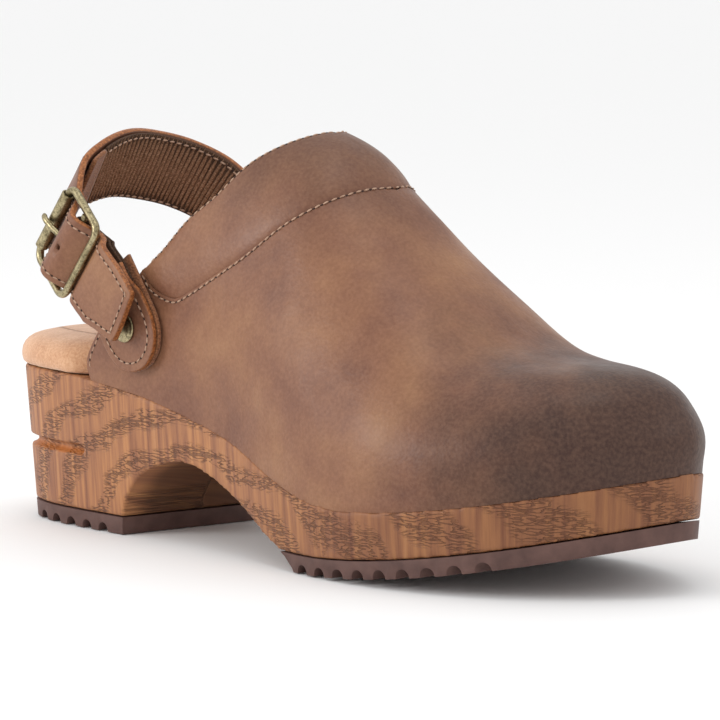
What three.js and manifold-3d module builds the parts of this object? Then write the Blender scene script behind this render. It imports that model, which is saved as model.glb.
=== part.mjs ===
// A sling-back wooden clog, right foot, with a buckled heel strap.
// Millimetres, +X to the toe, +Y to the inner (medial) side, +Z up.
// It is laid out from the heel's back at X = 0 and set on its base centre at the end.
import * as THREE from 'three';
import { mergeVertices } from 'three/addons/utils/BufferGeometryUtils.js';
import Module from 'manifold-3d';

// ---- Driving dimensions -------------------------------------------------
const SHOE_LENGTH = 262; // heel back to toe tip
const BALL_WIDTH = 94; // greatest width, across the ball
const HEEL_HEIGHT = 49.4; // ground to the wood's top at the heel
const BALL_HEIGHT = 21.3; // ground to the wood's top at the ball
const TOE_HEIGHT = 35.2; // ground to the wood's top at the toe tip
const INSTEP_HEIGHT = HEEL_HEIGHT + 78.6; // ground to the collar's highest point
const TOE_BOX_HEIGHT = 66; // ground to the top of the toe
const TREAD_THICKNESS = 5.4;
const TOE_SPRING = 16.1; // how far the tip lifts off the ground
const WALL_TAPER = 0.075; // how much the wooden wall leans in, per mm of depth
const BREAST_SLANT = 0.15; // the ball line and heel breast run forward to the inner side
const ARCH_HEIGHT = 26; // top of the tunnel under the waist
const HEEL_BLOCK_LENGTH = 62; // heel back to heel breast
const GROOVE_BOTTOM = 23.2;
const GROOVE_WIDTH = 4; // the band cut round the heel
const GROOVE_DEPTH = 2;
const GROOVE_END = 46; // how far forward the band runs
const NOTCH_WIDTH = 4.6; // arched notches along the tread's edges
const NOTCH_HEIGHT = 2.8;
const NOTCH_PITCH = 8.3;
const NOTCH_REACH = 7; // how far a notch runs in from the edge
const GAP = 0.3; // between pieces that touch

const VAMP_THICKNESS = 2;
const LINING_THICKNESS = 1.1;
const PUFF_THICKNESS = 1.2;
const COLLAR_THICKNESS = 1.6;
const COLLAR_FOAM_THICKNESS = 2.7;

const BOARD_THICKNESS = 2;
const FOAM_THICKNESS = 6;
const SUEDE_THICKNESS = 1.3;
const CUSHION_THICKNESS = 2.5;
const FOOTBED_OVERHANG = 1; // the padded edge stands proud of the wood at the heel

const STUD_FORWARD = 72.5; // heel back to the strap's pivot
const STUD_HEIGHT = HEEL_HEIGHT + 17.1; // the studs sit above the footbed, whatever the heel
const STUD_RADIUS = 4.5;
const STUD_CAP_HEIGHT = 1.4;
const POST_RADIUS = 1.6;
const WASHER_RADIUS = 4;
const WASHER_THICKNESS = 0.8;
const STRAP_WIDTH = 24;
const STRAP_THICKNESS = 2.2;
const WEBBING_THICKNESS = 1.5;
const TAB_WIDTH = 25;
const TAB_THICKNESS = 1.7;
const TAB_LINING_THICKNESS = 1.3;
const TAB_BELOW_STUD = 14;
const TAB_ABOVE_STUD = 19;
const ELASTIC_THICKNESS = 0.9;
const ELASTIC_WIDTH = 21;
const LOOP_DEPTH = 43; // how far the strap reaches back from its pivot
const LOOP_RISE = 46.5; // and how far it rises above it

const ROD_RADIUS = 1.3; // the buckle's wire
const BUCKLE_WIDTH = 28; // between the side bars' centres
const FRONT_BAR_AT = 9; // centre bar to front bar
const REAR_BAR_AT = 12.5; // centre bar to the roller's bar
const CENTRE_BAR_RADIUS = 1.1;
const ROLLER_BORE = 1.6;
const ROLLER_RADIUS = 2.1;
const PRONG_RADIUS = 1;
const PRONG_SWING = 12; // degrees the prong can lift off the roller in its hole
const HOLE_RADIUS = 1.5;
const HOLE_PITCH = 7;

const LEATHER = '#8a6650';
const RAW_LEATHER = '#a4704a';
const WOOD = '#a9713f';
const RUBBER = '#5f4742';
const SUEDE = '#d6a57f';
const WEBBING = '#6f4e3b';
const BRASS = '#a99a74';
const FOAM = '#d8cfb8';

// ---- Solid helpers ------------------------------------------------------
const wasm = await Module();
wasm.setup();
const V = (x, y, z) => new THREE.Vector3(x, y, z);
const mix = THREE.MathUtils.lerp;
const smooth = (t) => THREE.MathUtils.smoothstep(t, 0, 1);
const along = (percent) => (SHOE_LENGTH * percent) / 100;
const across = (percent) => (BALL_WIDTH * percent) / 100;

function solid(geometry) {
  const bare = geometry.clone();
  bare.deleteAttribute('normal');
  bare.deleteAttribute('uv');
  const merged = mergeVertices(bare, 1e-4);
  const triVerts = new Uint32Array(merged.index.array);
  const vertProperties = new Float32Array(merged.attributes.position.array);
  const made = new wasm.Manifold(new wasm.Mesh({ numProp: 3, vertProperties, triVerts }));
  if (made.volume() > 0) return made;
  for (let i = 0; i < triVerts.length; i += 3) {
    [triVerts[i + 1], triVerts[i + 2]] = [triVerts[i + 2], triVerts[i + 1]];
  }
  return new wasm.Manifold(new wasm.Mesh({ numProp: 3, vertProperties, triVerts }));
}

function geometryOf(manifold) {
  const mesh = manifold.getMesh();
  const geometry = new THREE.BufferGeometry();
  const place = new Float32Array(mesh.vertProperties);
  geometry.setAttribute('position', new THREE.BufferAttribute(place, 3));
  geometry.setIndex(Array.from(mesh.triVerts));
  return geometry;
}

// A closed solid through rings that all have the same number of points, capped at both ends.
function loft(rings, capCentres) {
  const count = rings[0].length;
  const place = rings.flat().flatMap((p) => [p.x, p.y, p.z]);
  const index = [];
  for (let r = 0; r + 1 < rings.length; r += 1) {
    for (let k = 0; k < count; k += 1) {
      const a = r * count + k;
      const b = r * count + ((k + 1) % count);
      index.push(a, b, b + count, a, b + count, a + count);
    }
  }
  const ends = [[0, capCentres?.[0]], [rings.length - 1, capCentres?.[1]]];
  ends.forEach(([r, centre], side) => {
    const middle = centre ?? rings[r].reduce((sum, p) => sum.add(p), V(0, 0, 0)).divideScalar(count);
    const hub = place.length / 3;
    place.push(middle.x, middle.y, middle.z);
    for (let k = 0; k < count; k += 1) {
      const a = r * count + k;
      const b = r * count + ((k + 1) % count);
      if (side === 0) index.push(hub, b, a);
      else index.push(hub, a, b);
    }
  });
  const geometry = new THREE.BufferGeometry();
  geometry.setAttribute('position', new THREE.Float32BufferAttribute(place, 3));
  geometry.setIndex(index);
  return solid(geometry);
}

function box(low, high) {
  const size = high.clone().sub(low);
  const geometry = new THREE.BoxGeometry(size.x, size.y, size.z);
  return solid(geometry.translate(...low.clone().add(high).multiplyScalar(0.5).toArray()));
}

function cylinder(from, to, radius, sides = 20) {
  const axis = to.clone().sub(from);
  const geometry = new THREE.CylinderGeometry(radius, radius, axis.length(), sides);
  const turn = new THREE.Quaternion().setFromUnitVectors(V(0, 1, 0), axis.clone().normalize());
  geometry.applyQuaternion(turn);
  return solid(geometry.translate(...from.clone().add(to).multiplyScalar(0.5).toArray()));
}

// A side-view outline of [x, z] points, pushed right across the shoe.
function sideCut(points) {
  const shape = new THREE.Shape(points.map(([x, z]) => new THREE.Vector2(x, z)));
  const reach = 2 * BALL_WIDTH;
  const geometry = new THREE.ExtrudeGeometry(shape, { depth: 2 * reach, bevelEnabled: false });
  geometry.rotateX(Math.PI / 2).translate(0, reach, 0);
  return solid(geometry);
}

// Leans a cutter so that it runs forward towards the inner side.
function slanted(manifold) {
  const lean = new THREE.Matrix4().set(1, BREAST_SLANT, 0, 0, 0, 1, 0, 0, 0, 0, 1, 0, 0, 0, 0, 1);
  const start = new THREE.Matrix4().makeTranslation(BREAST_SLANT * across(36), 0, 0);
  return solid(geometryOf(manifold).applyMatrix4(lean.premultiply(start)));
}

function curve2(points, steps) {
  const path = new THREE.SplineCurve(points.map(([x, z]) => new THREE.Vector2(x, z)));
  return path.getPoints(steps).map((p) => [p.x, p.y]);
}

// ---- The platform's plan and side view ----------------------------------
// Plan outline in percent of length and of ball width, from the heel's back round the outer side.
const PLAN = [
  [0, 0], [0.9, -14.5], [3.4, -26], [9, -33], [16.5, -35.6], [25.2, -36.6], [35.1, -36.8],
  [45, -40], [54.6, -46], [63.7, -50.2], [72.5, -50], [80.9, -45.3], [88.5, -36],
  [94.9, -20.8], [98.8, -4.5], [100, 9.6], [98.5, 20.5], [95, 30.5], [89.3, 41],
  [81.3, 48.4], [72.5, 49.8], [63.4, 45.2], [53.8, 37.8], [43.5, 32.4], [33.6, 31.9],
  [24, 33.5], [16, 34.2], [9, 31.8], [3.4, 25], [0.9, 14],
];
const planCurve = new THREE.CatmullRomCurve3(
  PLAN.map(([x, y]) => V(along(x), across(y), 0)), true, 'catmullrom', 0.5,
);
const PLAN_TIP = PLAN.findIndex(([x]) => x === 100) / PLAN.length;

function planPoint(x, side) {
  let low = side < 0 ? 0 : 1;
  let high = PLAN_TIP;
  for (let i = 0; i < 40; i += 1) {
    const middle = (low + high) / 2;
    if (planCurve.getPoint(middle).x < x) low = middle;
    else high = middle;
  }
  return planCurve.getPoint((low + high) / 2);
}

function planInward(t) {
  const tangent = planCurve.getTangent(t);
  return V(-tangent.y, tangent.x, 0);
}

// Passes a smooth curve through [x, y] points and gives y at x.
function through(points) {
  const slope = points.map((_, i) => {
    const [a, b] = [points[Math.max(i - 1, 0)], points[Math.min(i + 1, points.length - 1)]];
    return (b[1] - a[1]) / (b[0] - a[0]);
  });
  return (x) => {
    let i = 0;
    while (i < points.length - 2 && x > points[i + 1][0]) i += 1;
    const [[x0, y0], [x1, y1]] = [points[i], points[i + 1]];
    const h = x1 - x0;
    const t = THREE.MathUtils.clamp((x - x0) / h, 0, 1);
    const a = (1 + 2 * t) * (1 - t) ** 2;
    const b = t * (1 - t) ** 2;
    const c = t * t * (3 - 2 * t);
    const d = t * t * (t - 1);
    return a * y0 + b * h * slope[i] + c * y1 + d * h * slope[i + 1];
  };
}

// Height of the wood's top along the shoe: the share of the fall from heel to ball, then the toe's rise.
const fallShare = through([
  [11, 0], [14, 0.005], [20, 0.05], [28.6, 0.15], [36, 0.3], [45.4, 0.505], [54.2, 0.79],
  [60.5, 0.95], [66, 1], [68, 1],
]);
function woodTop(x) {
  const rise = THREE.MathUtils.clamp((x - along(65.6)) / along(34.4), 0, 1.1) ** 1.6;
  const fall = fallShare((100 * x) / SHOE_LENGTH);
  return HEEL_HEIGHT - (HEEL_HEIGHT - BALL_HEIGHT) * fall + (TOE_HEIGHT - BALL_HEIGHT) * rise;
}

// Height of the tread's underside along the shoe.
function treadBottom(x) {
  return TOE_SPRING * Math.max(0, (x - along(58.8)) / along(41.2)) ** 1.7;
}

// A block with the plan outline and leaning walls, from z = low(x) to z = high(x).
function block(low, high, grow = () => 0, sides = 104) {
  const bottom = [];
  const top = [];
  for (let i = 0; i < sides; i += 1) {
    const t = i / sides;
    const p = planCurve.getPoint(t);
    const inward = planInward(t);
    const depth = (z) => WALL_TAPER * (woodTop(p.x) - z) - grow(p.x);
    const at = (z) => p.clone().addScaledVector(inward, depth(z)).setZ(z);
    bottom.push(at(low(p.x)));
    top.push(at(high(p.x)));
  }
  const middle = along(50);
  return loft([bottom, top], [V(middle, 0, low(middle)), V(middle, 0, high(middle))]);
}

const stations = (from, to, count) => (
  Array.from({ length: count + 1 }, (_, i) => mix(from, to, i / count))
);
const PAST = 12; // how far a cutter runs past what it cuts

// Side view of everything below a curve z(x) and above a depth.
function under(height, from, to, bottom, count = 36) {
  const top = stations(to, from, count).map((x) => [x, height(x)]);
  return sideCut([[from, bottom], [to, bottom], ...top]);
}

const archLine = curve2([
  [HEEL_BLOCK_LENGTH - 0.5, -PAST], [HEEL_BLOCK_LENGTH + 0.5, 4],
  [HEEL_BLOCK_LENGTH + 3.5, ARCH_HEIGHT * 0.48], [HEEL_BLOCK_LENGTH + 11.5, ARCH_HEIGHT * 0.8],
  [along(34.5), ARCH_HEIGHT], [along(40), ARCH_HEIGHT * 0.92], [along(46.6), ARCH_HEIGHT * 0.66],
  [along(52.5), ARCH_HEIGHT * 0.36], [along(58), ARCH_HEIGHT * 0.09], [along(61.5), -PAST],
], 30);
const arch = slanted(sideCut(archLine));

const wholeBlock = block(() => -PAST / 2, (x) => woodTop(x) + PAST);
const belowTop = under(woodTop, -PAST, SHOE_LENGTH + PAST, -PAST);
const treadSlab = under((x) => treadBottom(x) + TREAD_THICKNESS, -PAST, SHOE_LENGTH + PAST, -2 * PAST);
const woodSlab = under((x) => treadBottom(x) + TREAD_THICKNESS + GAP, -PAST, SHOE_LENGTH + PAST, -3 * PAST);
const groundSlab = under(treadBottom, -PAST, SHOE_LENGTH + PAST, -3 * PAST);

const grooveCore = block(() => -PAST / 2, (x) => woodTop(x) + PAST, () => -GROOVE_DEPTH);
const groove = box(
  V(-PAST, -BALL_WIDTH, GROOVE_BOTTOM), V(GROOVE_END, BALL_WIDTH, GROOVE_BOTTOM + GROOVE_WIDTH),
).subtract(grooveCore);

const woodBase = wholeBlock.intersect(belowTop).subtract(woodSlab).subtract(arch).subtract(groove);

// Arched notches along both edges of a tread, every pitch from one place to another.
function notches(from, to) {
  let cutters;
  for (let x = from; x <= to; x += NOTCH_PITCH) {
    [-1, 1].forEach((side) => {
      const edge = planPoint(x, side);
      const shape = new THREE.Shape();
      shape.moveTo(-NOTCH_WIDTH / 2, -3);
      shape.lineTo(NOTCH_WIDTH / 2, -3);
      shape.lineTo(NOTCH_WIDTH / 2, NOTCH_HEIGHT - NOTCH_WIDTH / 2);
      shape.absarc(0, NOTCH_HEIGHT - NOTCH_WIDTH / 2, NOTCH_WIDTH / 2, 0, Math.PI, false);
      const depth = NOTCH_REACH + PAST;
      const geometry = new THREE.ExtrudeGeometry(shape, { depth, curveSegments: 4, bevelEnabled: false });
      geometry.rotateX(Math.PI / 2);
      const inner = edge.y - side * (NOTCH_REACH + 3);
      geometry.translate(x, side > 0 ? inner + depth : inner, treadBottom(x));
      const cutter = solid(geometry);
      cutters = cutters ? cutters.add(cutter) : cutter;
    });
  }
  return cutters;
}

const treadBlock = wholeBlock.intersect(treadSlab).subtract(groundSlab).subtract(arch);
const breast = HEEL_BLOCK_LENGTH + 10;
const heelSide = slanted(box(V(-SHOE_LENGTH, -2 * BALL_WIDTH, -PAST), V(breast, 2 * BALL_WIDTH, 2 * PAST)));
const heelNotches = notches(along(7.5), HEEL_BLOCK_LENGTH - NOTCH_WIDTH);
const foreNotches = notches(along(60), along(86));
const heelTread = treadBlock.intersect(heelSide).subtract(heelNotches);
const forefootTread = treadBlock.subtract(heelSide).subtract(foreNotches);

// ---- The upper: layers between offsets of one last surface ---------------
// Heights in the side view: 0 is the wood's top at the heel and 1 the top of the instep.
const rise = (share) => mix(HEEL_HEIGHT, INSTEP_HEIGHT, share);
const UPPER_REAR = along(16);
const CREST = [
  [14, 1.32], [23, 1.29], [30.5, 1.24], [38.2, 1.13], [46, 1.02], [52.3, 0.92], [58.8, 0.745],
  [63.5, 0.61], [70, 0.435], [76.7, 0.255], [81.3, 0.192], [86, 0.178], [92, 0.18], [100, 0.18],
];

const crestShare = through(CREST);
const toeTop = TOE_BOX_HEIGHT - rise(0.2);
const crestHeight = (x) => (
  rise(crestShare((100 * x) / SHOE_LENGTH)) + toeTop * smooth((x / SHOE_LENGTH - 0.7) / 0.15)
);
const crestSide = (x) => across(5.3) * smooth(x / SHOE_LENGTH);
const CREST_TURN = along(72.5); // ahead of this the ribs fan out round the toe
const CREST_REACH = along(16);
const crestStation = (x) => (
  x < CREST_TURN ? x : CREST_TURN + CREST_REACH * (1 - Math.exp((CREST_TURN - x) / CREST_REACH))
);
const fullness = (x) => mix(2.1, 3.1, smooth((x / SHOE_LENGTH - 0.62) / 0.36));
const SIDE_SWELL = 1.2; // how far the wall swells beyond the feather line
const FEATHER_INSET = 0.4;

// A point of the last: foot is its point on the feather line, turn runs 0 at the crest to 1 there.
function lastPoint(foot, inward, turn) {
  const low = woodTop(foot.x) + 1.3 * GAP;
  const station = crestStation(foot.x);
  const power = 2 / fullness(foot.x);
  const angle = (turn * Math.PI) / 2;
  const out = Math.sin(angle) ** power;
  const up = turn > 0.9999 ? 0 : Math.cos(angle) ** power;
  const base = foot.clone().addScaledVector(inward, FEATHER_INSET);
  const swell = SIDE_SWELL * Math.sin(Math.PI * Math.min(1, up / 0.7)) ** 2;
  const x = mix(station, base.x, out) - inward.x * swell;
  const y = mix(crestSide(station), base.y, out) - inward.y * swell;
  return V(x, y, mix(low, crestHeight(station), up));
}

// The last as a grid: ribs from the rear round the toe, outer side first, each from foot to crest.
const RIBS = 20;
const TURNS = 9;
function feet() {
  const reach = planCurve.getPoint(PLAN_TIP).x;
  const list = [];
  for (let i = 0; i <= RIBS; i += 1) {
    const x = UPPER_REAR + (reach - UPPER_REAR) * Math.sin((Math.PI / 2) * (i / RIBS));
    list.push(x);
  }
  const outer = list.slice(0, -1).map((x) => planPoint(x, -1));
  const inner = list.slice(0, -1).map((x) => planPoint(x, 1));
  return [...outer, planCurve.getPoint(PLAN_TIP), ...inner.reverse()];
}
const footPoints = feet();
const inwards = footPoints.map((p, i) => {
  const a = footPoints[Math.max(i - 1, 0)];
  const b = footPoints[Math.min(i + 1, footPoints.length - 1)];
  return V(a.y - b.y, b.x - a.x, 0).normalize();
});
const turns = stations(1, 0, TURNS);
const grid = footPoints.map((foot, i) => turns.map((turn) => lastPoint(foot, inwards[i], turn)));
const normals = grid.map((rib, i) => rib.map((_, k) => {
  const before = grid[Math.max(i - 1, 0)][k];
  const after = grid[Math.min(i + 1, grid.length - 1)][k];
  const down = rib[Math.max(k - 1, 0)];
  const up = rib[Math.min(k + 1, TURNS)];
  return after.clone().sub(before).cross(up.clone().sub(down)).normalize();
}));
for (let i = 0; i < RIBS; i += 1) {
  const mate = 2 * RIBS - i;
  const shared = normals[i][TURNS].clone().add(normals[mate][TURNS]).setY(0).normalize();
  normals[i][TURNS].copy(shared);
  normals[mate][TURNS].copy(shared);
}
// Where the crest folds over the tip, both sides share one point.
normals[RIBS][TURNS].copy(normals[RIBS - 1][TURNS]);

// The layer between two depths below the last, each a number or a function of x.
function layer(outerDepth, innerDepth) {
  const depthAt = (depth, x) => (typeof depth === 'function' ? depth(x) : depth);
  const sheet = (depth) => grid.map((rib, i) => rib.map((p, k) => {
    const sunk = p.clone().addScaledVector(normals[i][k], -depthAt(depth, p.x));
    return k === 0 ? sunk.setZ(woodTop(sunk.x) + 1.3 * GAP) : sunk;
  }));
  const sheets = [sheet(outerDepth), sheet(innerDepth)];
  const wide = TURNS + 1;
  const half = grid.length * wide;
  const place = sheets.flat(2).flatMap((p) => [p.x, p.y, p.z]);
  const index = [];
  const quad = (a, b, c, d) => index.push(a, b, c, a, c, d);
  for (let i = 0; i + 1 < grid.length; i += 1) {
    for (let k = 0; k < TURNS; k += 1) {
      const a = i * wide + k;
      quad(a, a + wide, a + wide + 1, a + 1);
      quad(half + a, half + a + 1, half + a + wide + 1, half + a + wide);
    }
    quad(i * wide, half + i * wide, half + (i + 1) * wide, (i + 1) * wide);
  }
  const last = (grid.length - 1) * wide;
  for (let k = 0; k < TURNS; k += 1) {
    quad(k, k + 1, half + k + 1, half + k);
    quad(last + k, half + last + k, half + last + k + 1, last + k + 1);
  }
  const geometry = new THREE.BufferGeometry();
  geometry.setAttribute('position', new THREE.Float32BufferAttribute(place, 3));
  geometry.setIndex(index);
  return solid(geometry);
}

// Side-view lines of the upper, from the heel end to the crest, in [percent of length, share of rise].
const sideLine = (points, steps) => curve2(points.map(([x, z]) => [along(x), rise(z)]), steps);
const REAR_EDGE = [[20.3, -0.05], [18.8, 0.03], [19, 0.08], [21, 0.18], [24.5, 0.3], [28.6, 0.444]];
const TOP_LINE = [
  [28.6, 0.444], [31.5, 0.543], [34.5, 0.665], [38.1, 0.765], [41.2, 0.88], [44, 0.949],
  [46.9, 1.0], [50, 1.04], [53, 1.12],
];
const SEAM_LINE = [
  [28.6, 0.444], [30.6, 0.378], [34.2, 0.345], [37, 0.38], [40.3, 0.44], [45.3, 0.54],
  [49.8, 0.655], [53.4, 0.735], [56.1, 0.79], [59, 0.84], [63, 1.1],
];
const rearEdge = sideLine(REAR_EDGE, 12);
const topLine = sideLine(TOP_LINE, 18);
const seamLine = sideLine(SEAM_LINE, 22);
// The same line moved a distance to its upper, rear side.
function beside(points, distance) {
  return points.map(([x, z], i) => {
    const [ax, az] = points[Math.max(i - 1, 0)];
    const [bx, bz] = points[Math.min(i + 1, points.length - 1)];
    const length = Math.hypot(bx - ax, bz - az);
    return [x - ((bz - az) / length) * distance, z + ((bx - ax) / length) * distance];
  });
}
const seamBack = beside(seamLine, 1.3 * GAP).reverse();
const FRONT = SHOE_LENGTH + PAST;
const SKY = INSTEP_HEIGHT + 5 * PAST;
const vampRegion = sideCut([
  ...rearEdge.slice(0, -1), ...seamLine, [along(64), SKY], [FRONT, SKY], [FRONT, rise(-0.6)],
  [along(20.3), rise(-0.6)],
]);
const collarRegion = sideCut([
  ...topLine.slice(1), [along(60), rise(1.3)], ...seamBack.filter(([x]) => x > topLine[0][0]),
]);
const toeRegion = sideCut([
  [along(84), rise(-0.6)], [FRONT, rise(-0.6)], [FRONT, SKY], [along(84), SKY],
]);

// ---- The heel strap's route ----------------------------------------------
// Outer face of the upper at a side-view place, as a distance from the middle.
function upperSide(x, z, side) {
  const foot = planPoint(x, side);
  const inward = V(0, -side, 0);
  let low = 0;
  let high = 1;
  for (let i = 0; i < 30; i += 1) {
    const middle = (low + high) / 2;
    if (lastPoint(foot, inward, middle).z > z) low = middle;
    else high = middle;
  }
  return Math.abs(lastPoint(foot, inward, high).y);
}
// The widest place of the upper that the strap's ends pass over.
function tabPlane(side) {
  const places = stations(-0.8, 0.8, 4).flatMap((a) => (
    stations(-0.8, 0.8, 4).map((b) => [STUD_FORWARD + a * 12, STUD_HEIGHT + b * 14])
  ));
  return side * (Math.max(...places.map(([x, z]) => upperSide(x, z, side))) + 2 * GAP);
}
const OUTER_PLANE = tabPlane(-1);
const INNER_PLANE = tabPlane(1);
const studAt = (side, out = 0) => (
  V(STUD_FORWARD, (side < 0 ? OUTER_PLANE : INNER_PLANE) + side * out, STUD_HEIGHT)
);

// Frames along a route: a point, the direction across the strap's width, and the way out.
function frames(points, widths) {
  return points.map((p, i) => {
    const along1 = points[Math.min(i + 1, points.length - 1)].clone();
    const go = along1.sub(points[Math.max(i - 1, 0)]).normalize();
    const wide = widths[i].clone().addScaledVector(go, -widths[i].dot(go)).normalize();
    return { p, go, wide, out: wide.clone().cross(go) };
  });
}
// A strip along frames between two distances outwards, with its own half width at each frame.
function strip(route, inner, outer, halfWidth) {
  const at = (value, i) => (typeof value === 'function' ? value(i) : value);
  return loft(route.map((f, i) => {
    const half = at(halfWidth, i);
    const corner = (w, o) => (
      f.p.clone().addScaledVector(f.wide, w * half).addScaledVector(f.out, at(o, i))
    );
    return [corner(1, inner), corner(1, outer), corner(-1, outer), corner(-1, inner)];
  }));
}
// Half width of a strip that ends in a round point of a given reach.
const roundEnd = (distance, reach, half) => (
  half * Math.sqrt(Math.max(0.02, 1 - Math.max(0, 1 - distance / reach) ** 2.4))
);
// Half width of an end cut to a blunt point.
const pointedEnd = (distance, reach, half) => (
  half * Math.max(0.12, 1 - Math.max(0, 1 - distance / reach) ** 1.6)
);

// Leaning frame of the buckle: back along the strap, across it, and outwards.
const BUCKLE_BACK = V(-0.78, 0.2, 0.59).normalize();
const BUCKLE_ACROSS = V(0.62, 0, 0.785);
BUCKLE_ACROSS.addScaledVector(BUCKLE_BACK, -BUCKLE_ACROSS.dot(BUCKLE_BACK)).normalize();
const BUCKLE_OUT = BUCKLE_ACROSS.clone().cross(BUCKLE_BACK);
const BAR_BACK = 22; // centre bar behind the pivot
const BAR_RISE = 24.3; // and above it
const BAR_OUT = 6.5; // and outside the plane of the tab
const BAR = V(STUD_FORWARD - BAR_BACK, OUTER_PLANE - BAR_OUT, STUD_HEIGHT + BAR_RISE);
const buckle = (back, side, out) => (
  BAR.clone().addScaledVector(BUCKLE_BACK, back).addScaledVector(BUCKLE_ACROSS, side)
    .addScaledVector(BUCKLE_OUT, out)
);

// The strap weaves under the front bar, over the centre bar and under the roller.
const halfStrap = STRAP_THICKNESS / 2;
const frontPass = ROD_RADIUS + 1.5 * GAP + halfStrap;
const centrePass = CENTRE_BAR_RADIUS + 3 * GAP + ELASTIC_THICKNESS + halfStrap;
const rearPass = ROLLER_RADIUS + 2.6 * GAP + halfStrap;
function weave() {
  const lean1 = Math.asin((frontPass + centrePass) / FRONT_BAR_AT);
  const lean2 = Math.asin((centrePass + rearPass) / REAR_BAR_AT);
  const arc = (at, radius, from, to, sign) => stations(from, to, 4).map((a) => (
    [at + radius * Math.sin(a) * -sign, radius * Math.cos(a) * sign]
  ));
  return [
    ...arc(-FRONT_BAR_AT, frontPass, -0.35, lean1, -1),
    ...arc(0, centrePass, lean1, -lean2, 1),
    ...arc(REAR_BAR_AT, rearPass, -lean2, 0.2, -1),
  ];
}
const weavePoints = weave().map(([back, out]) => buckle(back, 0, out));

// The tail drops from the front bar over the tab, towards the stud.
const TAB_LEAN = THREE.MathUtils.degToRad(55); // the tab's rise above level
const tabUp = V(-Math.cos(TAB_LEAN), 0, Math.sin(TAB_LEAN));
const tabAcross = V(Math.sin(TAB_LEAN), 0, Math.cos(TAB_LEAN));
const onTab = (up, side, out) => (
  V(STUD_FORWARD, OUTER_PLANE - out, STUD_HEIGHT).addScaledVector(tabUp, up).addScaledVector(tabAcross, side)
);
const tabTop = TAB_LINING_THICKNESS + 3 * GAP + 2 * ELASTIC_THICKNESS + TAB_THICKNESS;
const tailRest = tabTop + 5 * GAP + halfStrap;
const tailPoints = [
  onTab(-3.5, 3.9, tailRest + 1.2), onTab(1, 3.6, tailRest + 1.1), onTab(6, 3.2, tailRest + 0.9),
  onTab(12, 2.2, tailRest + 0.6), onTab(17, 0.8, tailRest + 0.4), onTab(20, 0, tailRest),
];
// The loop round the heel, from the roller to the inner stud: back, side and rise shares.
const LOOP = [
  [0.845, -0.73, 0.885], [0.91, -0.45, 0.975], [0.955, -0.07, 1.03], [0.96, 0.3, 1.0], [0.89, 0.63, 0.93],
  [0.73, 0.87, 0.81], [0.5, 0.98, 0.61],
];
const innerOut = TAB_LINING_THICKNESS + GAP + halfStrap;
const halfLoop = (INNER_PLANE - OUTER_PLANE) / 2 + innerOut;
const loopMiddle = (INNER_PLANE + OUTER_PLANE) / 2;
const innerLean = THREE.MathUtils.degToRad(52);
const onInner = (up, out) => V(
  STUD_FORWARD - Math.cos(innerLean) * up, INNER_PLANE + out, STUD_HEIGHT + Math.sin(innerLean) * up,
);
const loopPoints = LOOP.map(([back, side, up]) => V(
  STUD_FORWARD - LOOP_DEPTH * back, loopMiddle + halfLoop * side, STUD_HEIGHT + LOOP_RISE * up,
));
const strapKnots = [
  ...tailPoints, ...weavePoints, ...loopPoints,
  onInner(14, innerOut), onInner(7, innerOut), onInner(0, innerOut), onInner(-11.5, innerOut),
];
const strapCurve = new THREE.CatmullRomCurve3(strapKnots, false, 'centripetal');
const weaveEnd = tailPoints.length + weavePoints.length;
const knotShare = (n) => n / (strapKnots.length - 1);
const fineSteps = 40; // samples up to the roller, then round the heel
const loopSteps = 30;
const shares = [
  ...stations(0, knotShare(weaveEnd), fineSteps).slice(0, -1),
  ...stations(knotShare(weaveEnd), 1, loopSteps),
];
const routePoints = shares.map((t) => strapCurve.getPoint(t));
const wideAt = (p, share) => {
  const tail = tabAcross;
  const rear = V(0.43, 0, 0.9);
  const inner = V(Math.sin(innerLean), 0, Math.cos(innerLean));
  const weaveStart = knotShare(tailPoints.length);
  if (share < weaveStart) return tail.clone().lerp(BUCKLE_ACROSS, smooth(share / weaveStart));
  if (share < knotShare(weaveEnd)) return BUCKLE_ACROSS.clone();
  const t = (share - knotShare(weaveEnd)) / (1 - knotShare(weaveEnd));
  if (t < 0.45) return BUCKLE_ACROSS.clone().lerp(rear, smooth(t / 0.3));
  return rear.clone().lerp(inner, smooth((t - 0.55) / 0.35));
};
const strapRoute = frames(routePoints, shares.map((t, i) => wideAt(routePoints[i], t)));
const travelled = strapRoute.map((_, i) => strapRoute.slice(1, i + 1)
  .reduce((sum, f, k) => sum + f.p.distanceTo(strapRoute[k].p), 0));
const strapEnd = travelled[travelled.length - 1];
const strapHalf = (i) => Math.min(
  pointedEnd(travelled[i], 11, STRAP_WIDTH / 2),
  roundEnd(strapEnd - travelled[i], 11, STRAP_WIDTH / 2),
);
const indexAt = (distance) => travelled.findIndex((d) => d >= distance);
const rollerAt = travelled[fineSteps];

const PRONG_WALL = 0.9; // of its eye
function prongShank(radius) {
  const tipOut = ROLLER_RADIUS + GAP + PRONG_RADIUS + 0.2;
  const path = new THREE.CatmullRomCurve3([
    buckle(1.9, 0, 0.5), buckle(3.6, 0, 0.9), buckle(6, 0, 1.9), buckle(9, 0, 3),
    buckle(REAR_BAR_AT, 0, tipOut), buckle(REAR_BAR_AT + 2.8, 0, tipOut - 0.7),
  ], false, 'centripetal');
  const round = new THREE.Shape().absarc(0, 0, radius, 0, 2 * Math.PI, false);
  return solid(new THREE.ExtrudeGeometry(round, { steps: 12, curveSegments: 4, extrudePath: path }));
}
function studHole(side, radius) {
  return cylinder(studAt(side, -PAST), studAt(side, PAST), radius);
}
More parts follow.
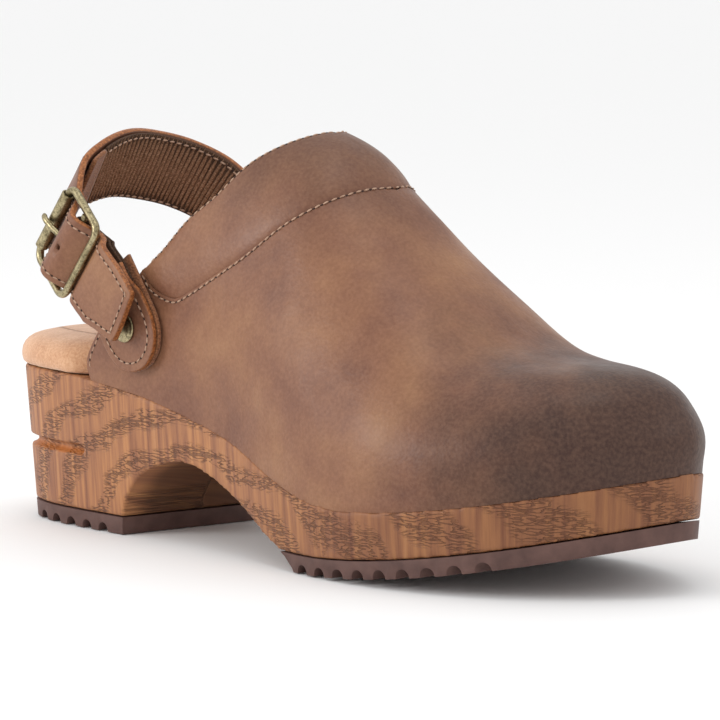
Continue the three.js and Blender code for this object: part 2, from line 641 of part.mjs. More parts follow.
// The strap's punched holes lie in line; the prong uses the one beside the roller.
function strapHole(back, out) {
  return cylinder(buckle(back, 0, out - 6), buckle(back, 0, out + 6), HOLE_RADIUS, 12);
}
const PRONG_BACK = 6; // where the prong comes up through the strap
// The room the prong needs in its hole as it swings off the roller.
function prongRoom() {
  const shank = geometryOf(prongShank(PRONG_RADIUS + 2 * GAP));
  const swung = (degrees) => shank.clone().translate(-BAR.x, -BAR.y, -BAR.z)
    .applyMatrix4(new THREE.Matrix4().makeRotationAxis(BUCKLE_ACROSS, THREE.MathUtils.degToRad(degrees)))
    .translate(BAR.x, BAR.y, BAR.z);
  return stations(0, PRONG_SWING + 2, 3).map((a) => solid(swung(a))).reduce((sum, piece) => sum.add(piece));
}
const strapLeather = strip(strapRoute, -halfStrap, halfStrap, strapHalf)
  .subtract(studHole(1, POST_RADIUS + GAP))
  .subtract(prongRoom())
  .subtract(strapHole(PRONG_BACK - HOLE_PITCH, centrePass));

// Inside the strap: a short leather facing behind the roller, then ribbed webbing round to the inner tab.
const facingFrom = indexAt(rollerAt + 3);
const webbingFrom = indexAt(rollerAt + 11);
const webbingTo = indexAt(strapEnd - 29);
const INNER_GAP = 0.8; // the layers' faces are bent, so they keep a little more apart
const innerStrip = (from, to, thickness, width) => strip(
  strapRoute.slice(from, to), -halfStrap - INNER_GAP - thickness, -halfStrap - INNER_GAP, width / 2,
);
const strapFacing = innerStrip(facingFrom, webbingFrom, WEBBING_THICKNESS, STRAP_WIDTH - 0.6);
const strapWebbing = innerStrip(webbingFrom, webbingTo, WEBBING_THICKNESS, STRAP_WIDTH - 0.6);
const innerEnd = strapRoute.slice(indexAt(strapEnd - 27));
const innerTabLining = strip(
  innerEnd, -halfStrap - GAP - TAB_LINING_THICKNESS, -halfStrap - GAP,
  (i) => roundEnd(strapEnd - travelled[travelled.length - innerEnd.length + i], 11, STRAP_WIDTH / 2),
).subtract(studHole(1, POST_RADIUS + GAP));

// ---- The outer tab, its elastic loop and the buckle ------------------------
const tabStations = stations(-TAB_BELOW_STUD, TAB_ABOVE_STUD, 22);
const tabLift = (up) => (2 * ELASTIC_THICKNESS + 2 * GAP) * smooth((up - STUD_RADIUS - 0.7) / 6.5);
function tabStrip(inner, thickness, width, lift) {
  const route = frames(tabStations.map((up) => onTab(up, 0, 0)), tabStations.map(() => tabAcross));
  const half = (i) => pointedEnd(tabStations[i] + TAB_BELOW_STUD, 15, width / 2);
  const depth = (more) => (i) => inner + more + lift(tabStations[i]);
  return strip(route, depth(0), depth(thickness), half).subtract(studHole(-1, POST_RADIUS + GAP));
}
const outerTabLining = tabStrip(0, TAB_LINING_THICKNESS, TAB_WIDTH, () => 0);
// Its upper end is trimmed clear of the strap where that passes under the front bar.
const frontBarRound = cylinder(
  buckle(-FRONT_BAR_AT, -STRAP_WIDTH, 0), buckle(-FRONT_BAR_AT, STRAP_WIDTH, 0),
  frontPass + halfStrap + 5 * GAP, 32,
);
const outerTab = tabStrip(TAB_LINING_THICKNESS + GAP, TAB_THICKNESS, TAB_WIDTH - 1, tabLift)
  .subtract(frontBarRound);

// The elastic runs up between the tab's layers, round the centre bar and down again.
// Both legs pass inside the strap, round the front bar.
function elasticLoop() {
  const wrap = CENTRE_BAR_RADIUS + GAP + ELASTIC_THICKNESS / 2;
  const legOut = (n) => TAB_LINING_THICKNESS + GAP + ELASTIC_THICKNESS / 2 + n * (ELASTIC_THICKNESS + GAP);
  const outerPass = frontPass + halfStrap + 2.6 * GAP + ELASTIC_THICKNESS / 2;
  const innerPass = outerPass + ELASTIC_THICKNESS + 1.2 * GAP;
  const outerDive = Math.asin((wrap + outerPass) / FRONT_BAR_AT);
  const innerDive = Math.asin((innerPass - wrap) / FRONT_BAR_AT);
  const arc = (at, radius, from, to, count) => stations(from, to, count)
    .map((a) => buckle(at + radius * Math.sin(a), 0, -radius * Math.cos(a)));
  const knots = [
    onTab(11, 0, legOut(1)), onTab(15, 0, legOut(1)), onTab(18, 0, legOut(1)),
    ...arc(-FRONT_BAR_AT, outerPass, -0.2, outerDive, 4),
    ...arc(0, wrap, Math.PI + outerDive, innerDive, 12),
    ...arc(-FRONT_BAR_AT, innerPass, innerDive, -0.2, 3),
    onTab(18, 0, legOut(0)), onTab(15, 0, legOut(0)), onTab(11, 0, legOut(0)),
  ];
  const path = new THREE.CatmullRomCurve3(knots, false, 'centripetal');
  const points = stations(0, 1, 54).map((share) => path.getPoint(share));
  const widths = points.map((p) => (
    tabAcross.clone().lerp(BUCKLE_ACROSS, smooth(1 - p.distanceTo(BAR) / 17))
  ));
  return strip(frames(points, widths), -ELASTIC_THICKNESS / 2, ELASTIC_THICKNESS / 2, ELASTIC_WIDTH / 2);
}

function roundedFrame() {
  const half = BUCKLE_WIDTH / 2;
  const corner = 3;
  const path = new THREE.CurvePath();
  const corners = [
    [-FRONT_BAR_AT, -half], [-FRONT_BAR_AT, half], [REAR_BAR_AT, half], [REAR_BAR_AT, -half],
  ];
  const point = ([b, s], [toB, toS], reach) => {
    const length = Math.hypot(toB - b, toS - s);
    return buckle(b + ((toB - b) * reach) / length, s + ((toS - s) * reach) / length, 0);
  };
  corners.forEach((here, i) => {
    const before = corners[(i + 3) % 4];
    const after = corners[(i + 1) % 4];
    const [start, end] = [point(here, before, corner), point(here, after, corner)];
    path.add(new THREE.QuadraticBezierCurve3(start, buckle(...here, 0), end));
    path.add(new THREE.LineCurve3(end, point(after, here, corner)));
  });
  return solid(new THREE.TubeGeometry(path, 56, ROD_RADIUS, 8, true));
}
const sideGap = ROD_RADIUS + GAP;
const buckleFrame = roundedFrame();
const barReach = BUCKLE_WIDTH / 2 - sideGap;
const centreBar = cylinder(buckle(0, -barReach, 0), buckle(0, barReach, 0), CENTRE_BAR_RADIUS, 14);
const rollerReach = BUCKLE_WIDTH / 2 - sideGap - 1.6;
const rearBar = (reach, radius) => (
  cylinder(buckle(REAR_BAR_AT, -reach, 0), buckle(REAR_BAR_AT, reach, 0), radius, 18)
);
const roller = rearBar(rollerReach, ROLLER_RADIUS).subtract(rearBar(rollerReach + 1, ROLLER_BORE));

// The prong: an eye round the centre bar, a shank up through the strap, and a tip on the roller.
function prongPiece() {
  const eyeBore = CENTRE_BAR_RADIUS + 0.25;
  const eye = cylinder(buckle(0, -1.4, 0), buckle(0, 1.4, 0), eyeBore + PRONG_WALL, 18)
    .subtract(cylinder(buckle(0, -2, 0), buckle(0, 2, 0), eyeBore, 18));
  return eye.add(prongShank(PRONG_RADIUS));
}
const prong = prongPiece();
const prongSlot = cylinder(buckle(0, -1.8, 0), buckle(0, 1.8, 0), 5, 18);
const elastic = elasticLoop().subtract(prongSlot);

// ---- The studs that hold the strap ----------------------------------------
const washerIn = VAMP_THICKNESS + GAP + LINING_THICKNESS + 2; // the upper curves away from the stud's plane
function studPieces(side, stack) {
  const out = (distance) => studAt(side, distance);
  const cap = cylinder(out(stack + GAP), out(stack + GAP + 0.5), STUD_RADIUS);
  const crown = cylinder(out(stack + GAP), out(stack + GAP + STUD_CAP_HEIGHT), STUD_RADIUS * 0.72);
  const post = cylinder(out(stack + GAP + 0.4), out(-washerIn - WASHER_THICKNESS - 0.4), POST_RADIUS, 14);
  const washer = cylinder(out(-washerIn), out(-washerIn - WASHER_THICKNESS), WASHER_RADIUS)
    .subtract(studHole(side, POST_RADIUS + GAP));
  return [cap.add(crown).add(post), washer];
}
const outerStack = TAB_LINING_THICKNESS + GAP + TAB_THICKNESS;
const innerStack = TAB_LINING_THICKNESS + GAP + STRAP_THICKNESS;
const [outerStud, outerWasher] = studPieces(-1, outerStack);
const [innerStud, innerWasher] = studPieces(1, innerStack);

// ---- The upper's pieces ----------------------------------------------------
const postHoles = studHole(-1, POST_RADIUS + GAP).add(studHole(1, POST_RADIUS + GAP));
const vampLeather = layer(0, VAMP_THICKNESS).intersect(vampRegion).subtract(postHoles);
const puffTop = VAMP_THICKNESS + GAP;
const puffStep = (x) => (PUFF_THICKNESS + GAP) * smooth((x / SHOE_LENGTH - 0.78) / 0.05);
const toePuff = layer(puffTop, puffTop + PUFF_THICKNESS).intersect(toeRegion);
const vampLining = layer(
  (x) => puffTop + puffStep(x), (x) => puffTop + puffStep(x) + LINING_THICKNESS,
).intersect(vampRegion).subtract(postHoles);
const collarLeather = layer(0, COLLAR_THICKNESS).intersect(collarRegion);
const foamTop = COLLAR_THICKNESS + GAP;
const foamBottom = foamTop + COLLAR_FOAM_THICKNESS;
const collarFoam = layer(foamTop, foamBottom).intersect(collarRegion);
const collarLining = layer(foamBottom + GAP, foamBottom + GAP + LINING_THICKNESS).intersect(collarRegion);

// ---- The footbed -----------------------------------------------------------
// The pad shows its edge at the heel and runs inside the upper ahead of it.
const upperDepth = VAMP_THICKNESS + 4 * GAP + LINING_THICKNESS + PUFF_THICKNESS + FEATHER_INSET + GAP;
const padEdge = (x) => mix(FOOTBED_OVERHANG, -upperDepth, smooth((x - along(15)) / along(4)));
const padFloor = (x) => woodTop(x) + GAP;
const boardTop = (x) => padFloor(x) + BOARD_THICKNESS;
const foamFloor = (x) => boardTop(x) + GAP;
const foamCrown = (x) => foamFloor(x) + FOAM_THICKNESS;
const suedeCrown = (x) => foamCrown(x) + GAP + SUEDE_THICKNESS;
const pad = (low, high, inset) => {
  const slab = sideCut([
    ...stations(-PAST, SHOE_LENGTH + PAST, 30).map((x) => [x, low(x)]),
    ...stations(SHOE_LENGTH + PAST, -PAST, 30).map((x) => [x, high(x)]),
  ]);
  const column = block((x) => low(x) - PAST, (x) => high(x) + PAST, (x) => padEdge(x) - inset, 72);
  return column.intersect(slab);
};
const coverInset = SUEDE_THICKNESS + GAP;
const board = pad(padFloor, boardTop, coverInset);
const CUSHION = { x: along(12), radius: 17 };
const cushionFloor = foamCrown(CUSHION.x + CUSHION.radius) - CUSHION_THICKNESS;
const cushionRound = (from, radius) => (
  cylinder(V(CUSHION.x, 0, from), V(CUSHION.x, 0, cushionFloor + PAST), radius, 32)
);
const foamPad = pad(foamFloor, foamCrown, coverInset);
const foam = foamPad.subtract(cushionRound(cushionFloor - GAP, CUSHION.radius + GAP));
const cushion = foamPad.intersect(cushionRound(cushionFloor, CUSHION.radius));
const suedeOuter = pad(padFloor, suedeCrown, 0);
const suedeInner = pad((x) => padFloor(x) - PAST, (x) => suedeCrown(x) - SUEDE_THICKNESS, SUEDE_THICKNESS);
const suede = suedeOuter.subtract(suedeInner);

// ---- Assembly --------------------------------------------------------------
const clog = new THREE.Group();
function add(name, manifold, color, roughness, metalness = 0) {
  const material = new THREE.MeshStandardMaterial({ color, roughness, metalness });
  const mesh = new THREE.Mesh(geometryOf(manifold), material);
  mesh.name = name;
  clog.add(mesh);
}
add('wood_base', woodBase, WOOD, 0.55);
add('heel_tread', heelTread, RUBBER, 0.6);
add('forefoot_tread', forefootTread, RUBBER, 0.6);
add('insole_board', board, FOAM, 0.9);
add('footbed_foam', foam, FOAM, 0.9);
add('heel_cushion', cushion, FOAM, 0.9);
add('footbed_suede', suede, SUEDE, 0.95);
add('vamp_leather', vampLeather, LEATHER, 0.6);
add('vamp_lining', vampLining, SUEDE, 0.9);
add('toe_puff', toePuff, FOAM, 0.9);
add('collar_leather', collarLeather, LEATHER, 0.6);
add('collar_foam', collarFoam, FOAM, 0.9);
add('collar_lining', collarLining, SUEDE, 0.9);
add('strap_leather', strapLeather, LEATHER, 0.6);
add('strap_facing', strapFacing, RAW_LEATHER, 0.8);
add('strap_webbing', strapWebbing, WEBBING, 0.95);
add('inner_tab_lining', innerTabLining, RAW_LEATHER, 0.8);
add('outer_tab_leather', outerTab, LEATHER, 0.6);
add('outer_tab_lining', outerTabLining, RAW_LEATHER, 0.8);
add('buckle_elastic', elastic, WEBBING, 0.95);
add('buckle_frame', buckleFrame, BRASS, 0.35, 1);
add('buckle_centre_bar', centreBar, BRASS, 0.35, 1);
add('buckle_roller', roller, BRASS, 0.35, 1);
add('buckle_prong', prong, BRASS, 0.35, 1);
add('outer_stud', outerStud, BRASS, 0.35, 1);
add('outer_stud_washer', outerWasher, BRASS, 0.4, 1);
add('inner_stud', innerStud, BRASS, 0.35, 1);
add('inner_stud_washer', innerWasher, BRASS, 0.4, 1);

// The part's origin is the middle of its box, on the ground.
clog.updateMatrixWorld(true);
const bounds = new THREE.Box3().setFromObject(clog);
const middle = bounds.getCenter(new THREE.Vector3());
clog.position.set(-middle.x, -middle.y, -bounds.min.z);

export default clog;
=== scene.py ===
# %% [markdown]
# # A wooden clog with a buckled heel strap
# The shoe is built from the same pieces a clog maker uses: a carved wooden sole with rubber treads, a padded
# footbed, a closed leather vamp, a padded collar, and a heel strap with a roller buckle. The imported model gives
# the places and the joints. Here each visible piece gets its real shape and finish.

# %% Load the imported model
import math
import bmesh
import bpy
import numpy as np
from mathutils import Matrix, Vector
from mathutils.kdtree import KDTree


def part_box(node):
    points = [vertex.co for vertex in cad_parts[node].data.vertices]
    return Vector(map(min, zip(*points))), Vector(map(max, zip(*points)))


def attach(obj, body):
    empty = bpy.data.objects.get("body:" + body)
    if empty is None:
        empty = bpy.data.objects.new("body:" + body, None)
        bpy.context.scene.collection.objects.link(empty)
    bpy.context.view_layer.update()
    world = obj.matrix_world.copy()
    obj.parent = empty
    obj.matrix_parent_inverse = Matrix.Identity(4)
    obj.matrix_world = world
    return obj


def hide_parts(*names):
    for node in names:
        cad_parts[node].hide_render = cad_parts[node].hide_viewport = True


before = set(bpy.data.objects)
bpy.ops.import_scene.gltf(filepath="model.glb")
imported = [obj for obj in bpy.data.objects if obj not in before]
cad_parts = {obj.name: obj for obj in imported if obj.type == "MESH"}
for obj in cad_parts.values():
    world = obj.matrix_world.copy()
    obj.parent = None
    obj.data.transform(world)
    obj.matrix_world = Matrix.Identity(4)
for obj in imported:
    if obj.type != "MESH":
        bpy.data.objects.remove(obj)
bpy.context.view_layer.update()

# %% [markdown]
# ## Camera, light and floor
# A product picture is taken with a long lens from knee height, so that the shoe keeps its proportions. A large
# soft panel above and one at each side give the waxed leather a broad, quiet highlight, and a pale floor takes
# a soft shadow.


# %% Colours are written as sRGB hex and turned to linear here
def colour(code):
    channels = [int(code[i:i + 2], 16) / 255 for i in (1, 3, 5)]
    linear = [c / 12.92 if c <= 0.04045 else ((c + 0.055) / 1.055) ** 2.4 for c in channels]
    return (*linear, 1.0)


# %% One function adds a node, with its settings and its links
def node(tree, kind, inputs=(), **settings):
    made = tree.nodes.new(kind)
    for name, value in settings.items():
        setattr(made, name, value)
    for name, value in dict(inputs).items():
        socket = made.inputs[name]
        if isinstance(value, bpy.types.NodeSocket):
            tree.links.new(value, socket)
        else:
            socket.default_value = value
    return made


# %% A new material, its shader, and the object's own coordinates in metres
def new_finish(name, roughness, metallic=0.0):
    material = bpy.data.materials.new(name)
    material.use_nodes = True
    tree = material.node_tree
    shader = tree.nodes["Principled BSDF"]
    shader.inputs["Roughness"].default_value = roughness
    shader.inputs["Metallic"].default_value = metallic
    shader.inputs["Specular IOR Level"].default_value = 0.5 if metallic else 0.3
    place = node(tree, "ShaderNodeTexCoord").outputs["Object"]
    return material, tree, shader, place


# %% A colour ramp from (position, hex) stops, and a bump of a real height
def ramp(tree, value, *stops):
    made = node(tree, "ShaderNodeValToRGB", {"Fac": value})
    elements = made.color_ramp.elements
    while len(elements) < len(stops):
        elements.new(0.5)
    for element, (position, code) in zip(elements, stops):
        element.position = position
        element.color = colour(code)
    return made.outputs["Color"]


def bump(tree, shader, height, millimetres, before=None):
    inputs = {"Height": height, "Strength": 1.0, "Distance": millimetres / 1000}
    if before is not None:
        inputs["Normal"] = before
    made = node(tree, "ShaderNodeBump", inputs).outputs["Normal"]
    tree.links.new(made, shader.inputs["Normal"])
    return made


# %% Noise whose grain is given in millimetres, stretched by one factor per axis
def grain(tree, place, millimetres, stretch=(1, 1, 1), detail=4.0, rough=0.55):
    vector = node(tree, "ShaderNodeMapping", {"Vector": place, "Scale": stretch}).outputs["Vector"]
    inputs = {"Vector": vector, "Scale": 1000 / millimetres, "Detail": detail, "Roughness": rough}
    return node(tree, "ShaderNodeTexNoise", inputs).outputs["Fac"]


# %% The floor and the world
floor_finish, tree, shader, place = new_finish("matte_white_paper", 0.9)
shader.inputs["Base Color"].default_value = colour("#f4f4f4")
mesh = bpy.data.meshes.new("floor")
mesh.from_pydata([(-12, -12, 0), (12, -12, 0), (12, 12, 0), (-12, 12, 0)], [], [(0, 1, 2, 3)])
floor = bpy.data.objects.new("floor", mesh)
bpy.context.scene.collection.objects.link(floor)
mesh.materials.append(floor_finish)
floor.location.z = -0.0003

world = bpy.data.worlds.new("studio")
bpy.context.scene.world = world
bpy.context.scene.view_settings.view_transform = "Standard"
world.use_nodes = True
world.node_tree.nodes["Background"].inputs["Color"].default_value = colour("#ffffff")
world.node_tree.nodes["Background"].inputs["Strength"].default_value = 1.02


# %% Soft panels of light
def panel(name, place, target, size, watts):
    light = bpy.data.lights.new(name, "AREA")
    light.shape = "DISK"
    light.size = size
    light.energy = watts
    lamp = bpy.data.objects.new(name, light)
    lamp.location = place
    lamp.rotation_euler = (Vector(target) - Vector(place)).to_track_quat("-Z", "Y").to_euler()
    bpy.context.scene.collection.objects.link(lamp)


panel("top_panel", (0.1, -0.1, 1.1), (0.02, 0, 0.05), 0.6, 1.5)
panel("right_panel", (0.9, 0.35, 0.5), (0, 0, 0.05), 0.4, 0.6)
panel("left_panel", (-0.55, -0.95, 0.42), (0, 0, 0.05), 0.45, 4.2)

# %% The camera: 210 mm lens, 1.286 m away, 45 degrees round from the outer side and 6.56 degrees up
azimuth, elevation, distance = math.radians(45), math.radians(6.56), 1.286
target = Vector((0.0038, 0.0034, 0.0582))
arm = Vector((
    math.sin(azimuth) * math.cos(elevation), -math.cos(azimuth) * math.cos(elevation), math.sin(elevation),
))
lens = bpy.data.cameras.new("camera")
lens.lens = 210
lens.sensor_width = 36
lens.clip_end = 20
camera = bpy.data.objects.new("camera", lens)
camera.location = target + distance * arm
camera.rotation_euler = (-arm).to_track_quat("-Z", "Y").to_euler()
bpy.context.scene.collection.objects.link(camera)
bpy.context.scene.camera = camera
print("camera at", tuple(round(c, 3) for c in camera.location))

# %% [markdown]
# ## The sizes and curves that everything follows
# A clog is drawn from its last, the foot-shaped form, and from the plan and side view of its sole. All sizes
# here are millimetres, measured from the back of the heel, and `at` turns a point into the model's metres.

# %% Driving sizes of the sole
LENGTH, WIDTH = 262.0, 94.0
HEEL, BALL, TOE = 49.4, 21.3, 35.2
INSTEP, TOE_BOX = 128.0, 66.0
TREAD, SPRING, TAPER, GAP = 5.4, 16.1, 0.075, 0.3
PLAN = np.array([
    (0, 0), (0.9, -14.5), (3.4, -26), (9, -33), (16.5, -35.6), (25.2, -36.6), (35.1, -36.8), (45, -40),
    (54.6, -46), (63.7, -50.2), (72.5, -50), (80.9, -45.3), (88.5, -36), (94.9, -20.8), (98.8, -4.5),
    (100, 9.6), (98.5, 20.5), (95, 30.5), (89.3, 41), (81.3, 48.4), (72.5, 49.8), (63.4, 45.2),
    (53.8, 37.8), (43.5, 32.4), (33.6, 31.9), (24, 33.5), (16, 34.2), (9, 31.8), (3.4, 25), (0.9, 14),
]) * (LENGTH / 100, WIDTH / 100)
PLAN_TIP = 15 / len(PLAN)


def smooth(t):
    t = min(max(t, 0.0), 1.0)
    return t * t * (3 - 2 * t)


def mix(a, b, t):
    return a + (b - a) * t


# %% A smooth curve through points, closed or open
def catmull(points, share, closed=False, centripetal=False):
    n = len(points)
    place = share * (n if closed else n - 1)
    i = int(place) if closed else min(int(place), n - 2)
    w = place - i
    p1, p2 = points[i % n], points[(i + 1) % n]
    p0 = points[(i - 1) % n] if closed or i > 0 else 2 * points[0] - points[1]
    p3 = points[(i + 2) % n] if closed or i + 2 < n else 2 * points[-1] - points[-2]
    a, b = (p2 - p0) / 2, (p3 - p1) / 2
    if centripetal:
        d0, d1, d2 = [max(math.dist(q, p) ** 0.5, 1e-6) for p, q in ((p0, p1), (p1, p2), (p2, p3))]
        a = ((p1 - p0) / d0 - (p2 - p0) / (d0 + d1) + (p2 - p1) / d1) * d1
        b = ((p2 - p1) / d1 - (p3 - p1) / (d1 + d2) + (p3 - p2) / d2) * d1
    return p1 + a * w + (3 * (p2 - p1) - 2 * a - b) * w ** 2 + (2 * (p1 - p2) + a + b) * w ** 3


# %% Height of one curve at x, through [x, y] points
def through(points):
    points = np.array(points, float)
    slope = [
        (points[min(i + 1, len(points) - 1)][1] - points[max(i - 1, 0)][1])
        / (points[min(i + 1, len(points) - 1)][0] - points[max(i - 1, 0)][0]) for i in range(len(points))
    ]

    def height(x):
        i = int(np.clip(np.searchsorted(points[:, 0], x) - 1, 0, len(points) - 2))
        (x0, y0), (x1, y1) = points[i], points[i + 1]
        t, h = min(max((x - x0) / (x1 - x0), 0.0), 1.0), x1 - x0
        a, b, c = (1 + 2 * t) * (1 - t) ** 2, t * (1 - t) ** 2, t * t * (3 - 2 * t)
        return a * y0 + b * h * slope[i] + c * y1 + t * t * (t - 1) * h * slope[i + 1]
    return height


# %% The sole's side view: the wood falls from heel to ball and rises to the toe
fall_share = through([
    (11, 0), (14, 0.005), (20, 0.05), (28.6, 0.15), (36, 0.3), (45.4, 0.505), (54.2, 0.79),
    (60.5, 0.95), (66, 1), (68, 1),
])


def wood_top(x):
    rise = min(max((x - 0.656 * LENGTH) / (0.344 * LENGTH), 0.0), 1.1) ** 1.6
    return HEEL - (HEEL - BALL) * fall_share(100 * x / LENGTH) + (TOE - BALL) * rise


def tread_bottom(x):
    return SPRING * max(0.0, (x - 0.588 * LENGTH) / (0.412 * LENGTH)) ** 1.7


# %% The plan: a point of the outline at x, on the outer side (-1) or the inner side (1)
def plan_share(x, side):
    low, high = (0.0, PLAN_TIP) if side < 0 else (1.0, PLAN_TIP)
    for _ in range(40):
        middle = (low + high) / 2
        if catmull(PLAN, middle, closed=True)[0] < x:
            low = middle
        else:
            high = middle
    return (low + high) / 2


def plan_point(x, side):
    return catmull(PLAN, plan_share(x, side), closed=True)


def plan_inward(share):
    tangent = catmull(PLAN, (share + 1e-4) % 1, closed=True) - catmull(PLAN, (share - 1e-4) % 1, closed=True)
    normal = np.array([-tangent[1], tangent[0]])
    return normal / np.hypot(*normal)


# %% The last: each rib runs from the feather line up to the crest
crest_share = through([
    (14, 1.32), (23, 1.29), (30.5, 1.24), (38.2, 1.13), (46, 1.02), (52.3, 0.92), (58.8, 0.745),
    (63.5, 0.61), (70, 0.435), (76.7, 0.255), (81.3, 0.192), (86, 0.178), (92, 0.18), (100, 0.18),
])
TURN_X, REACH_X = 0.725 * LENGTH, 0.16 * LENGTH


def rise(share):
    return mix(HEEL, INSTEP, share)


def crest_height(x):
    return rise(crest_share(100 * x / LENGTH)) + (TOE_BOX - rise(0.2)) * smooth((x / LENGTH - 0.7) / 0.15)


def crest_station(x):
    return x if x < TURN_X else TURN_X + REACH_X * (1 - math.exp((TURN_X - x) / REACH_X))


def fullness(x):
    return mix(2.1, 3.1, smooth((x / LENGTH - 0.62) / 0.36))


def last_point(foot, inward, turn):
    low, station = wood_top(foot[0]) - 0.2, crest_station(foot[0])
    power, angle = 2 / fullness(foot[0]), turn * math.pi / 2
    out, up = math.sin(angle) ** power, 0.0 if turn > 0.9999 else math.cos(angle) ** power
    base = foot + 0.4 * inward
    swell = 1.2 * math.sin(math.pi * min(1, up / 0.7)) ** 2
    x = mix(station, base[0], out) - inward[0] * swell
    y = mix(0.053 * WIDTH * smooth(station / LENGTH), base[1], out) - inward[1] * swell
    return np.array([x, y, mix(low, crest_height(station), up)])


# %% The turn of a rib at a height
def turn_at(x, z):
    low, high = wood_top(x) - 0.2, crest_height(crest_station(x))
    up = min(max((z - low) / (high - low), 0.0), 1.0)
    return math.acos(min(1.0, up ** (fullness(x) / 2))) * 2 / math.pi


# %% The widest place of the upper that the strap's ends pass over
STUD_X, STUD_Z = 72.5, 66.5


def upper_side(x, z, side):
    return abs(last_point(plan_point(x, side), np.array([0.0, -side]), turn_at(x, z))[1])


def tab_plane(side):
    steps = np.linspace(-0.8, 0.8, 5)
    return side * (max(upper_side(STUD_X + 12 * a, STUD_Z + 14 * b, side) for a in steps for b in steps) + 2 * GAP)


OUTER_PLANE, INNER_PLANE = tab_plane(-1), tab_plane(1)

# %% From millimetres behind the heel to the model's metres, set from the stud and the tab
stud_low, stud_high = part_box("outer_stud")
shift = np.array([
    (stud_low.x + stud_high.x) / 2 - STUD_X / 1000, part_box("outer_tab_lining")[1].y - OUTER_PLANE / 1000, 0.0,
])


def at(p):
    return Vector(np.asarray(p, float) / 1000 + shift)


print("shift in mm", np.round(shift * 1000, 3), "tab planes", round(OUTER_PLANE, 2), round(INNER_PLANE, 2))

# %% [markdown]
# ## Making pieces
# Most pieces are grids of points turned into a mesh. A sheet of leather gets its thickness from Solidify,
# which also gives its cut edge a second material, and a small Bevel rounds that edge as a skiving knife does.


# %% A mesh piece from points in millimetres and faces
def new_piece(name, points, faces, *materials):
    mesh = bpy.data.meshes.new(name)
    mesh.from_pydata([at(p) for p in points], [], faces)
    made = bpy.data.objects.new(name, mesh)
    bpy.context.scene.collection.objects.link(made)
    for material in materials:
        mesh.materials.append(material)
    return made


def tidy(piece, outward=True, join=1e-5):
    shape = bmesh.new()
    shape.from_mesh(piece.data)
    bmesh.ops.remove_doubles(shape, verts=shape.verts, dist=join)
    bmesh.ops.dissolve_degenerate(shape, edges=shape.edges, dist=1e-6)
    if outward:
        bmesh.ops.recalc_face_normals(shape, faces=shape.faces)
    shape.to_mesh(piece.data)
    shape.free()
    piece.data.shade_smooth()


def grid_faces(rows, columns, closed=False):
    faces = []
    for i in range(rows - 1):
        for k in range(columns if closed else columns - 1):
            a, b = i * columns + k, i * columns + (k + 1) % columns
            faces.append((a, b, b + columns, a + columns))
    return faces


# %% Apply a piece's modifiers, so that what is kept is a plain mesh
def settle(piece):
    graph = bpy.context.evaluated_depsgraph_get()
    mesh = bpy.data.meshes.new_from_object(piece.evaluated_get(graph))
    piece.modifiers.clear()
    old = piece.data
    piece.data = mesh
    bpy.data.meshes.remove(old)
    mesh.name = piece.name
    return piece


def place_piece(piece, body, slot, *nodes):
    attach(piece, body)
    if nodes:
        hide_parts(*nodes)
    size = [round(1000 * side, 1) for side in piece.dimensions]
    print(piece.name, "size in mm", size, "faces", len(piece.data.polygons))


# %% [markdown]
# ## Finishes
# Each finish is named for the real material. The leather is waxed and oiled, so it pulls up lighter where it
# is stretched; it is darker at the toe and over the top, partly as burnished wax and partly as painted shade.
# The wood is stained, and its grain is pressed in; the tunnel carries painted shade, and the groove's lower face
# is painted lighter.

# %% Waxed cowhide: cloudy pull-up marks, and darker at the toe and over the top, partly burnished and partly painted shade
leather, tree, shader, place = new_finish("waxed_cowhide", 0.46)
clouds = grain(tree, place, 34, detail=5)
base = ramp(tree, clouds, (0.32, "#6a4333"), (0.46, "#7d533d"), (0.58, "#895e43"), (0.72, "#976c4c"))
rosy = grain(tree, place, 48, (1, 1.3, 1), detail=2)
base = node(tree, "ShaderNodeMixRGB", {
    "Fac": ramp(tree, rosy, (0.45, "#000000"), (0.7, "#5a5a5a")), "Color1": base, "Color2": colour("#68413a"),
}).outputs["Color"]


# %% Darkening along one axis, with soft uneven limits; on the leather it is partly wax rubbed in and partly painted shade
def darken_along_axis(tree, place, base, axis, low, high, amount, code):
    ruffle = grain(tree, place, 22, detail=3)
    along = node(tree, "ShaderNodeSeparateXYZ", {"Vector": place}).outputs[axis]
    along = node(tree, "ShaderNodeMath", {0: ruffle, 1: (high - low) * 0.9, 2: along}, operation="MULTIPLY_ADD").outputs[0]
    edges = {"Value": along, "From Min": low + 0.45 * (high - low), "From Max": high + 0.45 * (high - low)}
    part = node(tree, "ShaderNodeMapRange", {**edges, "To Max": amount}, interpolation_type="SMOOTHSTEP").outputs["Result"]
    mixed = node(tree, "ShaderNodeMixRGB", {"Fac": part, "Color1": base, "Color2": colour(code)})
    return mixed.outputs["Color"]


# Painted shade and burnish: the toe is darkened, partly as wax rubbed in where the last is sharpest and partly as
# painted shade on the toe, which turns away from the light
base = darken_along_axis(tree, place, base, "X", 0.048, 0.118, 0.94, "#341f19")
